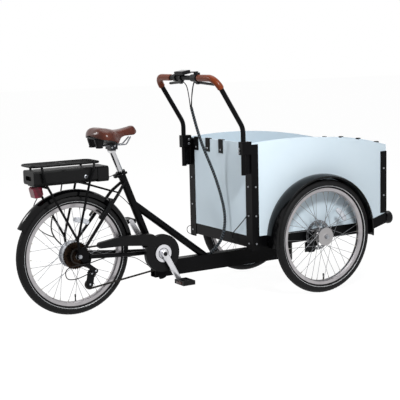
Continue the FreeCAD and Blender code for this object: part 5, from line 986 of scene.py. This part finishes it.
# %% Brackets under the bar clamps
# A steel plate joins the foot of each bar leg to the corner post: a rounded rectangle carried upwards.
BRACKET_X, BRACKET_Y = 853.0, 300.0
plate = rounded(17.0, 5.0, 2.0)
plate_z = np.array([668.0, 669.5, 766.5, 768.0])[:, None]
slim = np.array([0.95, 1.0, 1.0, 0.95])[:, None]
for side, name in ((1.0, "bar_bracket_left"), (-1.0, "bar_bracket_right")):
    x, y = BRACKET_X + slim * plate[:, 0], side * BRACKET_Y + slim * plate[:, 1]
    add_piece(name, grid(x, y, plate_z), "black powder coat on steel", "cart", "frame_paint")

# %% Holes in the front hubs
# The big flange is drilled all round, between the spokes. The holes are not cut: thin dark discs on the
# flange's face are painted shade where the holes show dark.
HOLES, HOLE_CIRCLE, FLANGE_FACE = 12, 36.0, 26.05
SHADE_DOT = [(-0.4, 3.4), (0.25, 3.4), (0.3, 0.1)]
# Painted shade: the discs wear the black rubber finish and stand for the shade inside the holes.
HOLE_SHADE = ("vulcanised tyre rubber", "black_plastic")
around = np.radians(np.arange(HOLES) * 360.0 / HOLES)
for wheel, outward in (("front_left", 1.0), ("front_right", -1.0)):
    x, y, body = WHEELS[wheel]
    hole_x, hole_z = x + HOLE_CIRCLE * np.cos(around), AXLE_Z + HOLE_CIRCLE * np.sin(around)
    holes = np.stack([hole_x, np.full(HOLES, y + outward * FLANGE_FACE), hole_z], axis=-1)
    studs(wheel + "_hub_hole_shade", holes, (0, outward, 0), SHADE_DOT, HOLE_SHADE, body, 12)

# %% Painted shade of the groove in the guard disc
# A dark ring, 3 mm wide, lies in the disc's face as painted shade for a groove that is not cut: a rectangle
# carried round the crank's axis.
GUARD_STEPS = 72
ring_r, ring_y = np.array([26.0, 29.0, 29.0, 26.0]), np.array([-91.5, -91.5, -90.5, -90.5])
groove_shade_points = round_axle(ring_r, ring_y, round_turn(GUARD_STEPS)[:, None], CRANK_X, 0.0, CRANK_Z)
add_piece("guard_groove_shade", groove_shade_points, "eroded black ABS", "crank", "black_plastic", wrap_along=True)

# %% Display glass
# The pane leans 10 degrees back and lies 30 mm left of the middle: a rounded rectangle in three levels.
DISPLAY_LEAN = math.radians(-10.0)
DISPLAY_X, DISPLAY_Y, DISPLAY_Z = 678, 30.0, 1181
pane = rounded(20.0, 36.0, 4.0)
level = np.array([17.2, 18.5, 18.8])[:, None]
shrink = np.array([1.0, 1.0, 0.97])[:, None]
pane_x, pane_y = shrink * pane[:, 0], shrink * pane[:, 1] + DISPLAY_Y
glass_x = DISPLAY_X + pane_x * math.cos(DISPLAY_LEAN) + level * math.sin(DISPLAY_LEAN)
glass_z = DISPLAY_Z - pane_x * math.sin(DISPLAY_LEAN) + level * math.cos(DISPLAY_LEAN)
add_piece("display_glass", grid(glass_x, pane_y, glass_z), "smoked glass", "cart", "black_plastic")

# %% Pedal reflectors
# A bar of amber plastic stands in each long edge of a pedal: a rounded rectangle carried through 3 levels.
# Each pedal has the x of its two edges, and its y and z.
PEDALS = {"right": (513, 583, -160, 119.3), "left": (349, 419, 160, 416.7)}
bar = rounded(26.0, 6.0, 2.0)
depth = np.array([-1.0, 1.6, 2.2])[:, None]
thin = np.array([1.0, 1.0, 0.93])[:, None]
ends = np.array([-1.0, 1.0])[:, None, None]
for side, (low, high, pedal_y, pedal_z) in PEDALS.items():
    x = np.where(ends < 0, low, high) + ends * depth
    reflectors = grid(x, pedal_y + ends * thin * bar[:, 0], pedal_z + thin * bar[:, 1])
    add_piece("pedal_reflectors_" + side, reflectors, "dark amber acrylic reflector", "pedal_" + side,
              "clear_lens")
